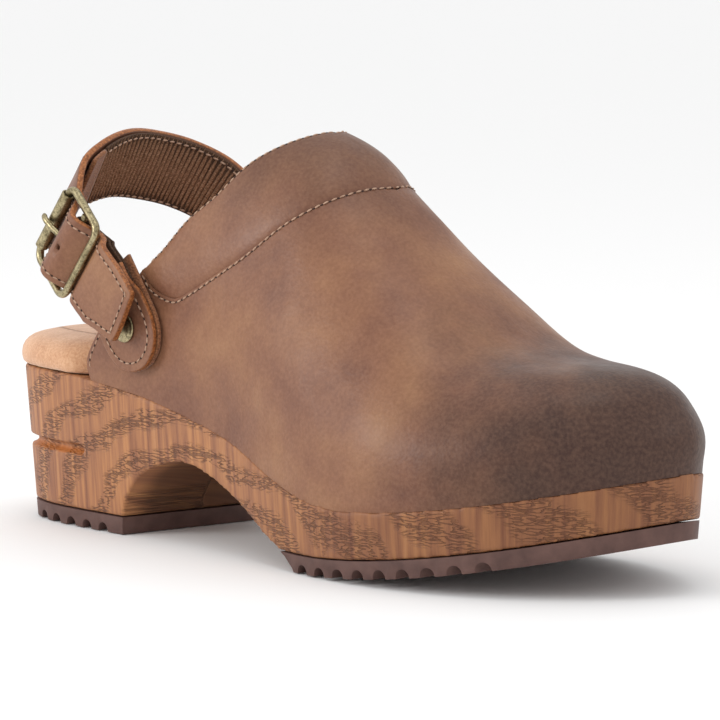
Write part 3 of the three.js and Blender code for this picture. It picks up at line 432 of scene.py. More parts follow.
# Painted shade and burnish: the top of the upper is darkened, partly as wax rubbed in round the topline and partly as
# painted shade on the parts that face up, away from the side light
base = darken_along_axis(tree, place, base, "Z", 0.088, 0.132, 0.66, "#4a2e24")
fine = grain(tree, place, 1.1, detail=3)
base = node(tree, "ShaderNodeMixRGB", {
    "Fac": 0.1, "Color1": base, "Color2": ramp(tree, fine, (0.35, "#3a2924"), (0.7, "#b58e74")),
}).outputs["Color"]
tree.links.new(base, shader.inputs["Base Color"])
wax = node(tree, "ShaderNodeMapRange", {"Value": grain(tree, place, 12), "From Min": 0.3, "From Max": 0.7, "To Min": 0.38, "To Max": 0.52})
tree.links.new(wax.outputs["Result"], shader.inputs["Roughness"])
pores = node(tree, "ShaderNodeTexVoronoi", {"Vector": place, "Scale": 1000 / 0.8}).outputs["Distance"]
first = bump(tree, shader, grain(tree, place, 7, detail=3), 0.3)
bump(tree, shader, pores, 0.04, first)

# %% Raw leather: the orange cut edge and fleshy back of veg-tanned hide, with loose fibres
raw_leather, tree, shader, place = new_finish("raw_veg_tanned_leather", 0.8)
fibres = grain(tree, place, 0.9, (1, 1, 2.2), detail=5)
tree.links.new(
    ramp(tree, fibres, (0.3, "#5f3a25"), (0.5, "#875635"), (0.72, "#ab7550")), shader.inputs["Base Color"],
)
shader.inputs["Sheen Weight"].default_value = 0.2
bump(tree, shader, fibres, 0.25)

# %% Suede: the napped split, pale tan and soft, lighter where the nap is brushed
def napped_suede(name):
    material, tree, shader, place = new_finish(name, 0.95)
    nap = grain(tree, place, 7, detail=6, rough=0.65)
    tone = ramp(tree, nap, (0.32, "#bd8a66"), (0.5, "#cb9a76"), (0.7, "#d8ab88"))
    hair = grain(tree, place, 0.7, detail=2)
    tone = node(tree, "ShaderNodeMixRGB", {
        "Fac": 0.3, "Color1": tone, "Color2": ramp(tree, hair, (0.35, "#a97852"), (0.65, "#e3bb98")),
    }).outputs["Color"]
    tree.links.new(tone, shader.inputs["Base Color"])
    shader.inputs["Sheen Weight"].default_value = 0.3
    shader.inputs["Sheen Roughness"].default_value = 0.5
    return material, tree, shader, place, tone, bump(tree, shader, hair, 0.2)


suede = napped_suede("napped_suede")[0]

# %% The footbed's suede also has an oval line pressed round the heel's seat
bed_suede, tree, shader, place, tone, rough_nap = napped_suede("napped_suede_pressed_heel_line")
seat = Vector((-0.0903, 0.0003, 0.0))
scale = Vector((1 / 0.036, 1 / 0.0185, 0))
oval = node(tree, "ShaderNodeMapping", {"Vector": place, "Location": -seat * scale, "Scale": scale}).outputs["Vector"]
oval = node(tree, "ShaderNodeVectorMath", {0: oval}, operation="LENGTH").outputs["Value"]
oval = node(tree, "ShaderNodeMath", {0: oval, 1: 1.0}, operation="SUBTRACT").outputs[0]
oval = node(tree, "ShaderNodeMath", {0: oval}, operation="ABSOLUTE").outputs[0]
oval = node(tree, "ShaderNodeMapRange", {"Value": oval, "From Min": 0.008, "From Max": 0.03}).outputs["Result"]
bump(tree, shader, oval, 0.8, rough_nap)
part = node(tree, "ShaderNodeMapRange", {"Value": oval, "To Min": 0.4, "To Max": 0.0}).outputs["Result"]
pressed = node(tree, "ShaderNodeMixRGB", {"Fac": part, "Color1": tone, "Color2": colour("#8d6243")}).outputs["Color"]
tree.links.new(pressed, shader.inputs["Base Color"])

# %% Stained alder: upright streaks of stain, and pressed grain marks that follow the growth rings
wood, tree, shader, place = new_finish("stained_alder_pressed_grain", 0.5)
around = node(tree, "ShaderNodeAttribute", attribute_name="around").outputs["Fac"]
height = node(tree, "ShaderNodeSeparateXYZ", {"Vector": place}).outputs["Z"]
side_view = node(tree, "ShaderNodeCombineXYZ", {"X": around, "Y": 0.0, "Z": height}).outputs["Vector"]
streak = grain(tree, side_view, 2.2, (1, 1, 0.05), detail=5, rough=0.6)
stain = ramp(tree, streak, (0.3, "#784c39"), (0.46, "#9a6848"), (0.6, "#b07a50"), (0.8, "#c59063"))
cloud = grain(tree, side_view, 16, (1, 1, 0.5), detail=3)
stain = node(
    tree, "ShaderNodeMixRGB", {"Fac": ramp(tree, cloud, (0.42, "#000000"), (0.72, "#8c8c8c")), "Color1": stain, "Color2": colour("#6f4840")},
).outputs["Color"]

# %% The pressed marks: short level strokes, kept only inside wavy bands that arch over the waist
past = node(tree, "ShaderNodeMath", {0: around, 1: 0.115}, operation="SUBTRACT").outputs[0]
size = node(tree, "ShaderNodeMath", {0: past}, operation="ABSOLUTE").outputs[0]
size = node(tree, "ShaderNodeMath", {0: size, 1: -0.16}, operation="MULTIPLY").outputs[0]
past = node(tree, "ShaderNodeMath", {0: past, 1: 0.46, 2: size}, operation="MULTIPLY_ADD").outputs[0]
bend = node(tree, "ShaderNodeCombineXYZ", {"X": past, "Y": 0.0, "Z": height}).outputs["Vector"]
warp = grain(tree, side_view, 22, detail=2)
ring = node(tree, "ShaderNodeVectorMath", {0: bend}, operation="LENGTH").outputs["Value"]
ring = node(tree, "ShaderNodeMath", {0: warp, 1: 0.014, 2: ring}, operation="MULTIPLY_ADD").outputs[0]
ring = node(tree, "ShaderNodeMath", {0: ring, 1: 2 * math.pi / 0.011}, operation="MULTIPLY").outputs[0]
ring = node(tree, "ShaderNodeMath", {0: ring}, operation="SINE").outputs[0]
band = node(tree, "ShaderNodeMapRange", {"Value": ring, "From Min": -0.35, "From Max": 0.55}).outputs["Result"]
stroke = grain(tree, side_view, 0.95, (0.2, 1, 1), detail=1.5, rough=0.5)
stroke = node(tree, "ShaderNodeMath", {0: stroke, 1: 0.5}, operation="SUBTRACT").outputs[0]
stroke = node(tree, "ShaderNodeMath", {0: stroke}, operation="ABSOLUTE").outputs[0]
stroke = node(tree, "ShaderNodeMapRange", {"Value": stroke, "From Min": 0.055, "From Max": 0.02}).outputs["Result"]
mark = node(tree, "ShaderNodeMath", {0: band, 1: stroke}, operation="MULTIPLY").outputs[0]
dark = node(tree, "ShaderNodeMath", {0: mark, 1: 0.62}, operation="MULTIPLY").outputs[0]
stain = node(tree, "ShaderNodeMixRGB", {"Fac": dark, "Color1": stain, "Color2": colour("#54362a")}).outputs["Color"]
# The wood is painted darker towards the toe
stain = darken_along_axis(tree, place, stain, "X", -0.04, 0.1, 0.5, "#653a1f")
# Painted shade: the walls deep in the tunnel under the waist are darkened, where shade falls
inside = node(tree, "ShaderNodeAttribute", attribute_name="inside").outputs["Fac"]
inside = node(tree, "ShaderNodeMath", {0: inside, 1: 0.6}, operation="MULTIPLY").outputs[0]
stain = node(tree, "ShaderNodeMixRGB", {"Fac": inside, "Color1": stain, "Color2": colour("#2e1c12")}).outputs["Color"]
# Painted light, partly real: the groove's lower face takes the orange of raw wood, while its upper face, which is in
# shade, keeps the darker stain
groove = node(tree, "ShaderNodeAttribute", attribute_name="groove").outputs["Fac"]
groove = node(tree, "ShaderNodeMath", {0: groove, 1: 0.7}, operation="MULTIPLY").outputs[0]
stain = node(tree, "ShaderNodeMixRGB", {"Fac": groove, "Color1": stain, "Color2": colour("#b4682a")}).outputs["Color"]
tree.links.new(stain, shader.inputs["Base Color"])
sunk = node(tree, "ShaderNodeMath", {0: 1.0, 1: mark}, operation="SUBTRACT").outputs[0]
first = bump(tree, shader, sunk, 0.35)
bump(tree, shader, streak, 0.1, first)

# %% Moulded rubber: dark red-brown, matte, with a faint texture from the mould
rubber, tree, shader, place = new_finish("moulded_rubber", 0.62)
tree.links.new(
    ramp(tree, grain(tree, place, 6), (0.3, "#523b36"), (0.7, "#664b44")), shader.inputs["Base Color"],
)
bump(tree, shader, grain(tree, place, 0.5, detail=2), 0.04)

# %% Antique brass: plated wire, rubbed bright, with fine dark specks left in its patina
brass, tree, shader, place = new_finish("antique_brass_plate", 0.3, 1.0)
specks = grain(tree, place, 0.8, detail=6, rough=0.75)
wash = grain(tree, place, 4, detail=3)
gold = ramp(tree, wash, (0.35, "#8e8263"), (0.6, "#b6a985"))
dark = ramp(tree, specks, (0.4, "#d9d9d9"), (0.52, "#2c2c2c"), (0.6, "#000000"))
gold = node(tree, "ShaderNodeMixRGB", {"Fac": dark, "Color1": gold, "Color2": colour("#3f3829")}).outputs["Color"]
tree.links.new(gold, shader.inputs["Base Color"])
rough = node(tree, "ShaderNodeMapRange", {"Value": specks, "From Min": 0.35, "From Max": 0.6, "To Min": 0.5, "To Max": 0.27})
tree.links.new(rough.outputs["Result"], shader.inputs["Roughness"])
bump(tree, shader, specks, 0.012)

# %% Waxed polyester thread, twisted: pale tan
thread, tree, shader, place = new_finish("waxed_polyester_thread", 0.6)
tree.links.new(
    ramp(tree, grain(tree, place, 0.6), (0.3, "#94735f"), (0.7, "#b99a83")), shader.inputs["Base Color"],
)
# The needle holes are dark marks of painted shadow
needle_hole, tree, shader, place = new_finish("needle_hole_shadow", 0.9)
tree.links.new(
    ramp(tree, grain(tree, place, 0.8), (0.3, "#2c1f1a"), (0.7, "#44312a")), shader.inputs["Base Color"],
)

# %% Ribbed elastic webbing: brown cotton over rubber cords, each rib wrapped in fine yarn
webbing, tree, shader, place = new_finish("ribbed_elastic_webbing", 0.9)
yarn = grain(tree, place, 0.55, (1, 1, 2.4), detail=3)
tree.links.new(
    ramp(tree, yarn, (0.34, "#5f4331"), (0.5, "#8a654c"), (0.68, "#b08b70")), shader.inputs["Base Color"],
)
bump(tree, shader, yarn, 0.2)
dark_webbing, tree, shader, place = new_finish("dark_elastic_tape", 0.9)
yarn = grain(tree, place, 0.6, (1, 1, 2), detail=3)
tree.links.new(ramp(tree, yarn, (0.35, "#35251c"), (0.65, "#604634")), shader.inputs["Base Color"])
bump(tree, shader, yarn, 0.2)

# %% Foam and fibre board, inside the footbed, the collar and the toe
foam, tree, shader, place = new_finish("latex_foam", 0.95)
tree.links.new(ramp(tree, grain(tree, place, 1.5), (0.3, "#cfc3a6"), (0.7, "#e2d9c2")), shader.inputs["Base Color"])
board, tree, shader, place = new_finish("cellulose_fibre_board", 0.9)
tree.links.new(ramp(tree, grain(tree, place, 2), (0.3, "#a8906b"), (0.7, "#c4ad88")), shader.inputs["Base Color"])
print("finishes", len(bpy.data.materials))

# %% [markdown]
# ## The wooden sole
# The real sole is milled from one block: a saw cuts the tunnel under the waist, and a cutter runs a groove
# round the heel. The block is drawn here as a ladder between matching points of the outline, the tunnel and
# groove are cut with Booleans, and a voxel remesh with a little smoothing eases every arris as sanding does.


# %% Stations along the shoe, closer together at the rounded ends
def stations(count, low=0.0, high=None):
    end = catmull(PLAN, PLAN_TIP, closed=True)[0] if high is None else high
    return [mix(low, end, (1 - math.cos(math.pi * i / count)) / 2) for i in range(count + 1)]


STEPS = stations(110)
SHARES = [(plan_share(x, -1), plan_share(x, 1)) for x in STEPS]


def ladder(name, low, high, inset, levels, material):
    loop = [s for s, _ in SHARES] + [s for _, s in SHARES[-2:0:-1]]
    points = []
    for k in range(levels + 1):
        for share in loop:
            p = catmull(PLAN, share, closed=True)
            z = mix(low(p[0]), high(p[0]), k / levels)
            points.append([*(p + plan_inward(share) * inset(p[0], z)), z])
    count, last = len(loop), levels * len(loop)
    faces = grid_faces(levels + 1, count, closed=True)
    for k in range(1, len(STEPS) - 1):
        a, b, c, d = k, k + 1, (count - k - 1) % count, (count - k) % count
        quad = [a, b] if b == c else [a, b, c]
        faces.append([*quad, d][::-1])
        faces.append([last + i for i in [*quad, d]])
    faces.append([0, count - 1, 1][::-1])
    faces.append([last + i for i in (0, count - 1, 1)])
    made = new_piece(name, points, faces, material)
    tidy(made)
    return made


# %% The block, with walls that lean in towards the ground
def lean(x, z):
    return TAPER * (wood_top(x) - z)


sole = ladder("wooden_sole", lambda x: tread_bottom(x) + TREAD + GAP, wood_top, lean, 8, wood)

# %% The tunnel: an arch in side view, running slightly forward towards the inner side
ARCH, HEEL_BLOCK, SLANT = 26.0, 62.0, 0.15
arch_knots = np.array([
    (HEEL_BLOCK - 0.5, -12), (HEEL_BLOCK + 0.5, 4), (HEEL_BLOCK + 3.5, ARCH * 0.48),
    (HEEL_BLOCK + 11.5, ARCH * 0.8), (90.4, ARCH), (104.8, ARCH * 0.92), (122.1, ARCH * 0.66),
    (137.6, ARCH * 0.36), (152, ARCH * 0.09), (161.1, -12),
])
arch_line = [catmull(arch_knots, t) for t in np.linspace(0, 1, 73)]


def across_cutter(name, outline, slant=SLANT):
    points = [(x + slant * (y + 33.84), y, z) for y in (-70, 70) for x, z in outline]
    count = len(outline)
    faces = grid_faces(2, count, closed=True) + [list(range(count))[::-1], list(range(count, 2 * count))]
    made = new_piece(name, points, faces)
    tidy(made)
    return made


def cut(piece, cutter):
    change = piece.modifiers.new("cut", "BOOLEAN")
    change.operation = "DIFFERENCE"
    change.solver = "EXACT"
    change.object = cutter
    settle(piece)
    bpy.data.objects.remove(cutter)


cut(sole, across_cutter("tunnel", arch_line))

# %% The groove round the heel: a shallow band with a rounded end on each side
GROOVE_Z, GROOVE_END, GROOVE_DEPTH = 25.2, 46.0, 2.6


def groove_cutter():
    limit = [(s, t) for (s, t), x in zip(SHARES, STEPS) if x <= GROOVE_END]
    loop = [t for _, t in limit[::-1]] + [s for s, _ in limit[1:]]
    points = []
    for share in loop:
        p, inward = catmull(PLAN, share, closed=True), plan_inward(share)
        near = min(1.0, (GROOVE_END - p[0]) / 2.2)
        half = 0.3 + 2.1 * math.sqrt(max(0.0, 1 - (1 - near) ** 2))
        wall = lean(p[0], GROOVE_Z)
        for depth, z in (
            (-6, -half), (-6, half), (wall + GROOVE_DEPTH * 0.8, half * 0.6), (wall + GROOVE_DEPTH, 0),
            (wall + GROOVE_DEPTH * 0.8, -half * 0.6),
        ):
            points.append([*(p + inward * depth), GROOVE_Z + z])
    faces = grid_faces(len(loop), 5, closed=True)
    faces += [list(range(5))[::-1], [5 * (len(loop) - 1) + i for i in range(5)]]
    made = new_piece("groove", points, faces)
    tidy(made)
    return made


cut(sole, groove_cutter())

# %% Ease the arrises: remesh, smooth a little, and measure each point's way round the wall for the grain
remesh = sole.modifiers.new("ease", "REMESH")
remesh.mode = "VOXEL"
remesh.voxel_size = 0.0009
soften = sole.modifiers.new("sand", "SMOOTH")
soften.factor = 0.5
soften.iterations = 1
settle(sole)
sole.data.shade_smooth()
if not sole.data.materials:
    sole.data.materials.append(wood)
outline = [catmull(PLAN, i / 600, closed=True) for i in range(601)]
walk = np.concatenate([[0], np.cumsum([math.dist(a, b) for a, b in zip(outline, outline[1:])])])
nearest = KDTree(600)
for i, p in enumerate(outline[:600]):
    nearest.insert((*p, 0), i)
nearest.balance()
marks = {"around": [], "inside": [], "groove": []}
for v in sole.data.vertices:
    p = np.array(v.co) * 1000 - shift * 1000
    _, i, _ = nearest.find((p[0], p[1], 0))
    step = outline[i + 1] - outline[i - 1 if i else 599]
    unit_step = step / np.hypot(*step)
    gap = p[:2] - outline[i]
    depth = gap.dot((-unit_step[1], unit_step[0])) - lean(p[0], p[2])
    marks["around"].append((walk[i] + gap.dot(unit_step)) / 1000)
    # Painted shade mask: points deep inside the tunnel's walls
    marks["inside"].append(smooth((depth - 2.5) / 9) if p[2] < ARCH + 1 else 0.0)
    # The groove's lower, lit face is marked for the lighter raw-wood orange
    low_face = GROOVE_Z - 2.4 < p[2] < GROOVE_Z - 0.1 and p[0] < GROOVE_END
    marks["groove"].append(1.0 if low_face and 0.35 < depth < 4 else 0.0)
for key, values in marks.items():
    sole.data.attributes.new(key, "FLOAT", "POINT").data.foreach_set("value", values)
place_piece(sole, "shoe", "wood", "wood_base")

# %% [markdown]
# ## The rubber treads
# The treads are die-cut from moulded sheet. Their shape in the model is right, so each one is copied, its
# loose triangles are joined, and a narrow bevel takes the razor edge off, as moulded rubber never has one.


# %% Copy a node, join its triangles and ease its edges
def eased_copy(node_name, name, width, material, angle=38):
    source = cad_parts[node_name]
    made = bpy.data.objects.new(name, source.data.copy())
    bpy.context.scene.collection.objects.link(made)
    made.data.materials.clear()
    made.data.materials.append(material)
    tidy(made, outward=False)
    shape = bmesh.new()
    shape.from_mesh(made.data)
    flat = [e for e in shape.edges if len(e.link_faces) == 2 and e.calc_face_angle() < math.radians(1)]
    bmesh.ops.dissolve_edges(shape, edges=flat, use_verts=False)
    shape.to_mesh(made.data)
    shape.free()
    ease = made.modifiers.new("ease", "BEVEL")
    ease.width = width
    ease.segments = 2
    ease.limit_method = "ANGLE"
    ease.angle_limit = math.radians(angle)
    settle(made)
    made.data.shade_smooth()
    made.data.set_sharp_from_angle(angle=math.radians(angle))
    return made


for node_name, name in (("heel_tread", "heel_rubber"), ("forefoot_tread", "forefoot_rubber")):
    place_piece(eased_copy(node_name, name, 0.0003, rubber), "shoe", "rubber", node_name)

# %% [markdown]
# ## The padded footbed
# A layer of foam is covered in suede and glued to the wood. At the heel its soft edge shows and bulges a
# little over the wood; further forward it runs inside the upper. A line is pressed round the heel's seat.


# %% The footbed's outline steps in where the upper begins
def bed_edge(x):
    return mix(1.0, -6.3, smooth((x - 0.15 * LENGTH) / (0.04 * LENGTH)))


BED_RINGS = [
    (2.6, 0.35), (1.2, 0.45), (0.4, 1.2), (0.05, 2.6), (0.0, 4.0), (0.3, 5.6), (1.0, 7.0), (2.2, 8.3),
    (3.8, 9.3), (5.8, 10.0), (8.2, 10.5), (11.5, 10.9), (15.0, 11.1),
]


def footbed():
    loop = [s for s, _ in SHARES] + [s for _, s in SHARES[-2:0:-1]]
    points = []
    for inset, lift in BED_RINGS:
        for share in loop:
            p = catmull(PLAN, share, closed=True)
            moved = p + plan_inward(share) * (inset - bed_edge(p[0]))
            crown = 0.3 * math.sin(p[0] * 0.31 + 6 * share) if lift < 8 else 0.0
            points.append([*moved, wood_top(moved[0]) + lift + 0.15 * crown])
    count, last = len(loop), (len(BED_RINGS) - 1) * len(loop)
    faces = grid_faces(len(BED_RINGS), count, closed=True)
    for k in range(1, len(STEPS) - 1):
        a, b, c, d = k, k + 1, (count - k - 1) % count, (count - k) % count
        quad = [a, b] if b == c else [a, b, c]
        faces.append([*quad, d][::-1])
        faces.append([last + i for i in [*quad, d]])
    faces.append([0, count - 1, 1][::-1])
    faces.append([last + i for i in (0, count - 1, 1)])
    made = new_piece("suede_footbed", points, faces, bed_suede)
    tidy(made)
    return made


bed = footbed()
place_piece(bed, "shoe", "suede", "footbed_suede", "footbed_foam", "heel_cushion")

# %% [markdown]
# ## The vamp and its lining
# The vamp is one piece of waxed leather, pulled over the last and stapled under the footbed. Ribs of points run
# from the feather line up to the crest, or to the seam under the collar, so that its edges follow its pattern.


# %% Side-view lines of the pattern, in percent of length and share of the rise, sampled as x and z
def side_line(points, count=80):
    points = np.array(points, float)
    samples = [catmull(points, t) for t in np.linspace(0, 1, count)]
    return np.array([(LENGTH * x / 100, rise(z)) for x, z in samples])


rear_edge = side_line([(18.8, 0.03), (19, 0.08), (21, 0.18), (24.5, 0.3), (28.6, 0.444)])
top_line = side_line([
    (28.6, 0.444), (31.5, 0.543), (34.5, 0.665), (38.1, 0.765), (41.2, 0.88), (44, 0.949), (46.9, 1.0),
    (50, 1.04), (53, 1.12),
])
seam_line = side_line([
    (28.6, 0.444), (30.6, 0.378), (34.2, 0.345), (37, 0.38), (40.3, 0.44), (45.3, 0.54), (49.8, 0.655),
    (53.4, 0.735), (56.1, 0.79), (59, 0.84), (63, 1.1),
])
CORNER = LENGTH * 0.286


# %% How high the vamp reaches at x, and how low its rounded rear corner starts
def vamp_high(x):
    if x <= CORNER:
        return float(np.interp(x, rear_edge[:, 0], rear_edge[:, 1]))
    return float(np.interp(x, seam_line[:, 0], seam_line[:, 1]))


def vamp_low(x):
    return mix(rise(0.03), rise(-0.06), min(1.0, (x - LENGTH * 0.188) / (LENGTH * 0.014)))


# %% Ribs of the vamp on one side, from the rear edge to the tip
tip_x = catmull(PLAN, PLAN_TIP, closed=True)[0]
rib_xs = [
    *np.linspace(LENGTH * 0.1885, 54, 14)[:-1], *np.linspace(54, 84, 34)[:-1], *np.linspace(84, 165, 50)[:-1],
    *[mix(165, tip_x, math.sin(math.pi / 2 * i / 46)) for i in range(47)],
]
VAMP_ROWS = 40


def rib(x, side, depth=0.0):
    share = PLAN_TIP if x >= tip_x - 1e-6 else plan_share(x, side)
    foot, inward = catmull(PLAN, share, closed=True), plan_inward(share)
    low = turn_at(x, max(vamp_low(x), wood_top(x) - 0.2)) if x < LENGTH * 0.21 else 1.0
    high = turn_at(x, vamp_high(x))
    return [last_point(foot, inward, mix(low, high, k / VAMP_ROWS)) for k in range(VAMP_ROWS + 1)]


vamp_ribs = [rib(x, -1) for x in rib_xs] + [rib(x, 1) for x in rib_xs[-2::-1]]
print("vamp ribs", len(vamp_ribs))


# %% A sheet of leather: its skin is sunk by a depth, then thickened inwards
def leather_sheet(name, ribs, depth, thickness, skin, edge, ease=0.35, floor_it=True):
    points = [p for r in ribs for p in r]
    made = new_piece(name, points, grid_faces(len(ribs), len(ribs[0])), skin, edge)
    tidy(made, outward=False, join=2e-5)
    shape = bmesh.new()
    shape.from_mesh(made.data)
    shape.normal_update()
    high = max(shape.verts, key=lambda v: v.co.z)
    if high.normal.z < 0:
        bmesh.ops.reverse_faces(shape, faces=shape.faces)
        shape.normal_update()
    for v in shape.verts:
        v.co -= v.normal * depth / 1000
        if floor_it:
            v.co.z = max(v.co.z, (wood_top((v.co.x - shift[0]) * 1000) - 0.2) / 1000)
    shape.to_mesh(made.data)
    shape.free()
    thick = made.modifiers.new("thickness", "SOLIDIFY")
    thick.thickness = thickness / 1000
    thick.offset = -1
    thick.use_even_offset = False
    thick.material_offset_rim = 1
    if ease:
        soft = made.modifiers.new("ease", "BEVEL")
        soft.width = ease / 1000
        soft.segments = 2
        soft.limit_method = "ANGLE"
        soft.angle_limit = math.radians(50)
    settle(made)
    made.data.shade_smooth()
    return made


vamp = leather_sheet("vamp", vamp_ribs, 0.0, 2.0, leather, raw_leather)
place_piece(vamp, "shoe", "oiled_leather", "vamp_leather")
lining = leather_sheet("vamp_lining_suede", vamp_ribs, 2.35, 1.1, suede, suede, 0)
place_piece(lining, "shoe", "suede", "vamp_lining")

# %% [markdown]
# ## The padded collar
# The collar is a band of the same leather over foam, sewn to the vamp along a curved seam. It is drawn as
# lines that run from the seam up to the edge, so it can swell softly in between and roll over the edge.


# %% Where a side-view line meets the crest
def crest_crossing(line):
    for x, z in line:
        if z >= crest_height(x):
            return x
    return line[-1][0]


def along_line(line, count):
    end = crest_crossing(line)
    kept = np.array([(x, z) for x, z in line if x < end] + [(end, crest_height(end))])
    length = np.concatenate([[0], np.cumsum(np.hypot(*np.diff(kept, axis=0).T))])
    even = np.linspace(0, length[-1], count)
    return [(x, turn_at(x, z)) for x, z in zip(np.interp(even, length, kept[:, 0]), np.interp(even, length, kept[:, 1]))]


# %% A point of the last at (x, turn) on one side, with the outward normal
def on_last(x, turn, side):
    share = plan_share(x, side)
    foot, inward = catmull(PLAN, share, closed=True), plan_inward(share)
    return last_point(foot, inward, turn)


def last_normal(x, turn, side):
    dx = on_last(x + 0.4, turn, side) - on_last(x - 0.4, turn, side)
    dt = on_last(x, min(1.0, turn + 0.01), side) - on_last(x, max(0.0, turn - 0.01), side)
    n = np.cross(dx, dt) * side
    n = n if turn > 0.02 else np.array([n[0], 0.0, n[2]])
    return n / np.linalg.norm(n)


# %% Lines from the seam to the edge, then rolled over it and a little way down inside
COLLAR_LINES, COLLAR_STEPS, PAD = 60, 22, 5.6
seam_ends, top_ends = along_line(seam_line, COLLAR_LINES), along_line(top_line, COLLAR_LINES)


def collar_line(i, side, swell=1.0):
    (xs, ts), (xt, tt) = seam_ends[i], top_ends[i]
    fat = min(1.0, i / 9)
    line = []
    for k in range(COLLAR_STEPS + 1):
        w = k / COLLAR_STEPS
        x, turn = mix(xs, xt, w), mix(ts, tt, w)
        puff = swell * fat * (math.sin(math.pi * min(1.0, w * 1.04) ** 0.75) ** 0.8 if 0 < w < 0.96 else 0.0)
        line.append(on_last(x, turn, side) + last_normal(x, turn, side) * (puff + 0.25 - 0.55 * (1 - w) ** 8))
    top, normal = line[-1], last_normal(xt, tt, side)
    up = line[-1] - line[-4]
    up = up - normal * up.dot(normal)
    up = up / max(1e-6, np.linalg.norm(up))
    radius = mix(1.2, PAD / 2, fat)
    roll = [top - up * radius * 0.75 - normal * radius * (1 - math.cos(a)) + up * radius * math.sin(a) * 0.75
            for a in np.linspace(math.pi / 7, math.pi, 7)]
    down = [roll[-1] - up * step for step in (1.5, 3.5)]
    body = [p for p in line if (p - top).dot(up) < -radius * 0.75] if i > 0 else line
    while len(body) < len(line):
        body.append(body[-1] * 0.35 + roll[0] * 0.65)
    return body + roll + down


collar_lines = [collar_line(i, -1) for i in range(COLLAR_LINES)]
collar_lines += [collar_line(i, 1) for i in range(COLLAR_LINES - 2, -1, -1)]
collar = leather_sheet("collar", collar_lines, 0.0, 1.3, leather, raw_leather, 0.3, False)
place_piece(collar, "shoe", "oiled_leather", "collar_leather", "collar_foam")


# %% The collar's lining runs from below the roll down to the seam's level
def lining_line(i, side):
    (xs, ts), (xt, tt) = seam_ends[i], top_ends[i]
    line = []
    for k in range(15):
        w = k / 14 * 0.93
        x, turn = mix(xs, xt, w), mix(ts, tt, w)
        line.append(on_last(x, turn, side) - last_normal(x, turn, side) * mix(3.4, PAD - 0.2, smooth(w * 2.5)))
    return line


lining_lines = [lining_line(i, -1) for i in range(3, COLLAR_LINES)]
lining_lines += [lining_line(i, 1) for i in range(COLLAR_LINES - 2, 2, -1)]
collar_lining = leather_sheet("collar_lining_suede", lining_lines, 0.0, 0.9, suede, suede, 0, False)
place_piece(collar_lining, "shoe", "suede", "collar_lining")

# %% [markdown]
# ## The heel strap's route
# The strap starts as a free tail over the outer tab, dives under the buckle's front bar, rises over the centre
# bar, dives under the roller, and goes round the heel to the stud on the inner side.


# %% The buckle's leaning frame: back along the strap, across it, and outwards
def unit(v):
    return np.asarray(v, float) / np.linalg.norm(v)


STRAP, STRAP_THICK, WEBBING = 24.0, 2.2, 1.5
ROD, BAR_RADIUS, ROLLER, ROLLER_BORE, ELASTIC = 1.3, 1.1, 2.1, 1.6, 0.9
BUCKLE_WIDTH, FRONT_BAR, REAR_BAR = 28.0, 9.0, 12.5
BACK = unit((-0.78, 0.2, 0.59))
ACROSS = np.array([0.62, 0, 0.785])
ACROSS = unit(ACROSS - BACK * ACROSS.dot(BACK))
OUT = np.cross(ACROSS, BACK)
BAR = np.array([STUD_X - 22, OUTER_PLANE - 6.5, STUD_Z + 24.3])


def buckle(back, side, out):
    return BAR + BACK * back + ACROSS * side + OUT * out


# %% The tab's own leaning frame, on the outer plane, through the stud
tab_lean, inner_lean = math.radians(55), math.radians(52)
TAB_UP = np.array([-math.cos(tab_lean), 0, math.sin(tab_lean)])
TAB_ACROSS = np.array([math.sin(tab_lean), 0, math.cos(tab_lean)])


def on_tab(up, side, out):
    return np.array([STUD_X, OUTER_PLANE - out, STUD_Z]) + TAB_UP * up + TAB_ACROSS * side


# %% The strap's weave through the buckle
half_strap = STRAP_THICK / 2
front_pass = ROD + 1.5 * GAP + half_strap
centre_pass = BAR_RADIUS + 3 * GAP + ELASTIC + half_strap
rear_pass = ROLLER + 2.6 * GAP + half_strap
lean1 = math.asin((front_pass + centre_pass) / FRONT_BAR)
lean2 = math.asin((centre_pass + rear_pass) / REAR_BAR)


def weave_arc(place, radius, start, end, sign):
    return [
        buckle(place - sign * radius * math.sin(a), 0, sign * radius * math.cos(a)) for a in np.linspace(start, end, 5)
    ]


weave = [
    *weave_arc(-FRONT_BAR, front_pass, -0.35, lean1, -1), *weave_arc(0, centre_pass, lean1, -lean2, 1),
    *weave_arc(REAR_BAR, rear_pass, -lean2, 0.2, -1),
]

# %% The tail, the loop round the heel, and the end on the inner stud
tab_top = 1.3 + 3 * GAP + 2 * ELASTIC + 1.7
tail_rest = tab_top + 5 * GAP + half_strap
tail = [
    on_tab(-3.5, 3.9, tail_rest + 1.2), on_tab(1, 3.6, tail_rest + 1.1), on_tab(6, 3.2, tail_rest + 0.9),
    on_tab(12, 2.2, tail_rest + 0.6), on_tab(17, 0.8, tail_rest + 0.4), on_tab(20, 0, tail_rest),
]
inner_out = 1.3 + GAP + half_strap
half_loop = (INNER_PLANE - OUTER_PLANE) / 2 + inner_out
loop = [
    np.array([STUD_X - 43 * b, (INNER_PLANE + OUTER_PLANE) / 2 + half_loop * s, STUD_Z + 46.5 * u])
    for b, s, u in [
        (0.845, -0.73, 0.885), (0.91, -0.45, 0.975), (0.955, -0.07, 1.03), (0.96, 0.3, 1.0),
        (0.89, 0.63, 0.93), (0.73, 0.87, 0.81), (0.5, 0.98, 0.61),
    ]
]


def on_inner(up, out):
    return np.array([STUD_X - math.cos(inner_lean) * up, INNER_PLANE + out, STUD_Z + math.sin(inner_lean) * up])


knots = np.array([*tail, *weave, *loop, *[on_inner(up, inner_out) for up in (14, 7, 0, -11.5)]])

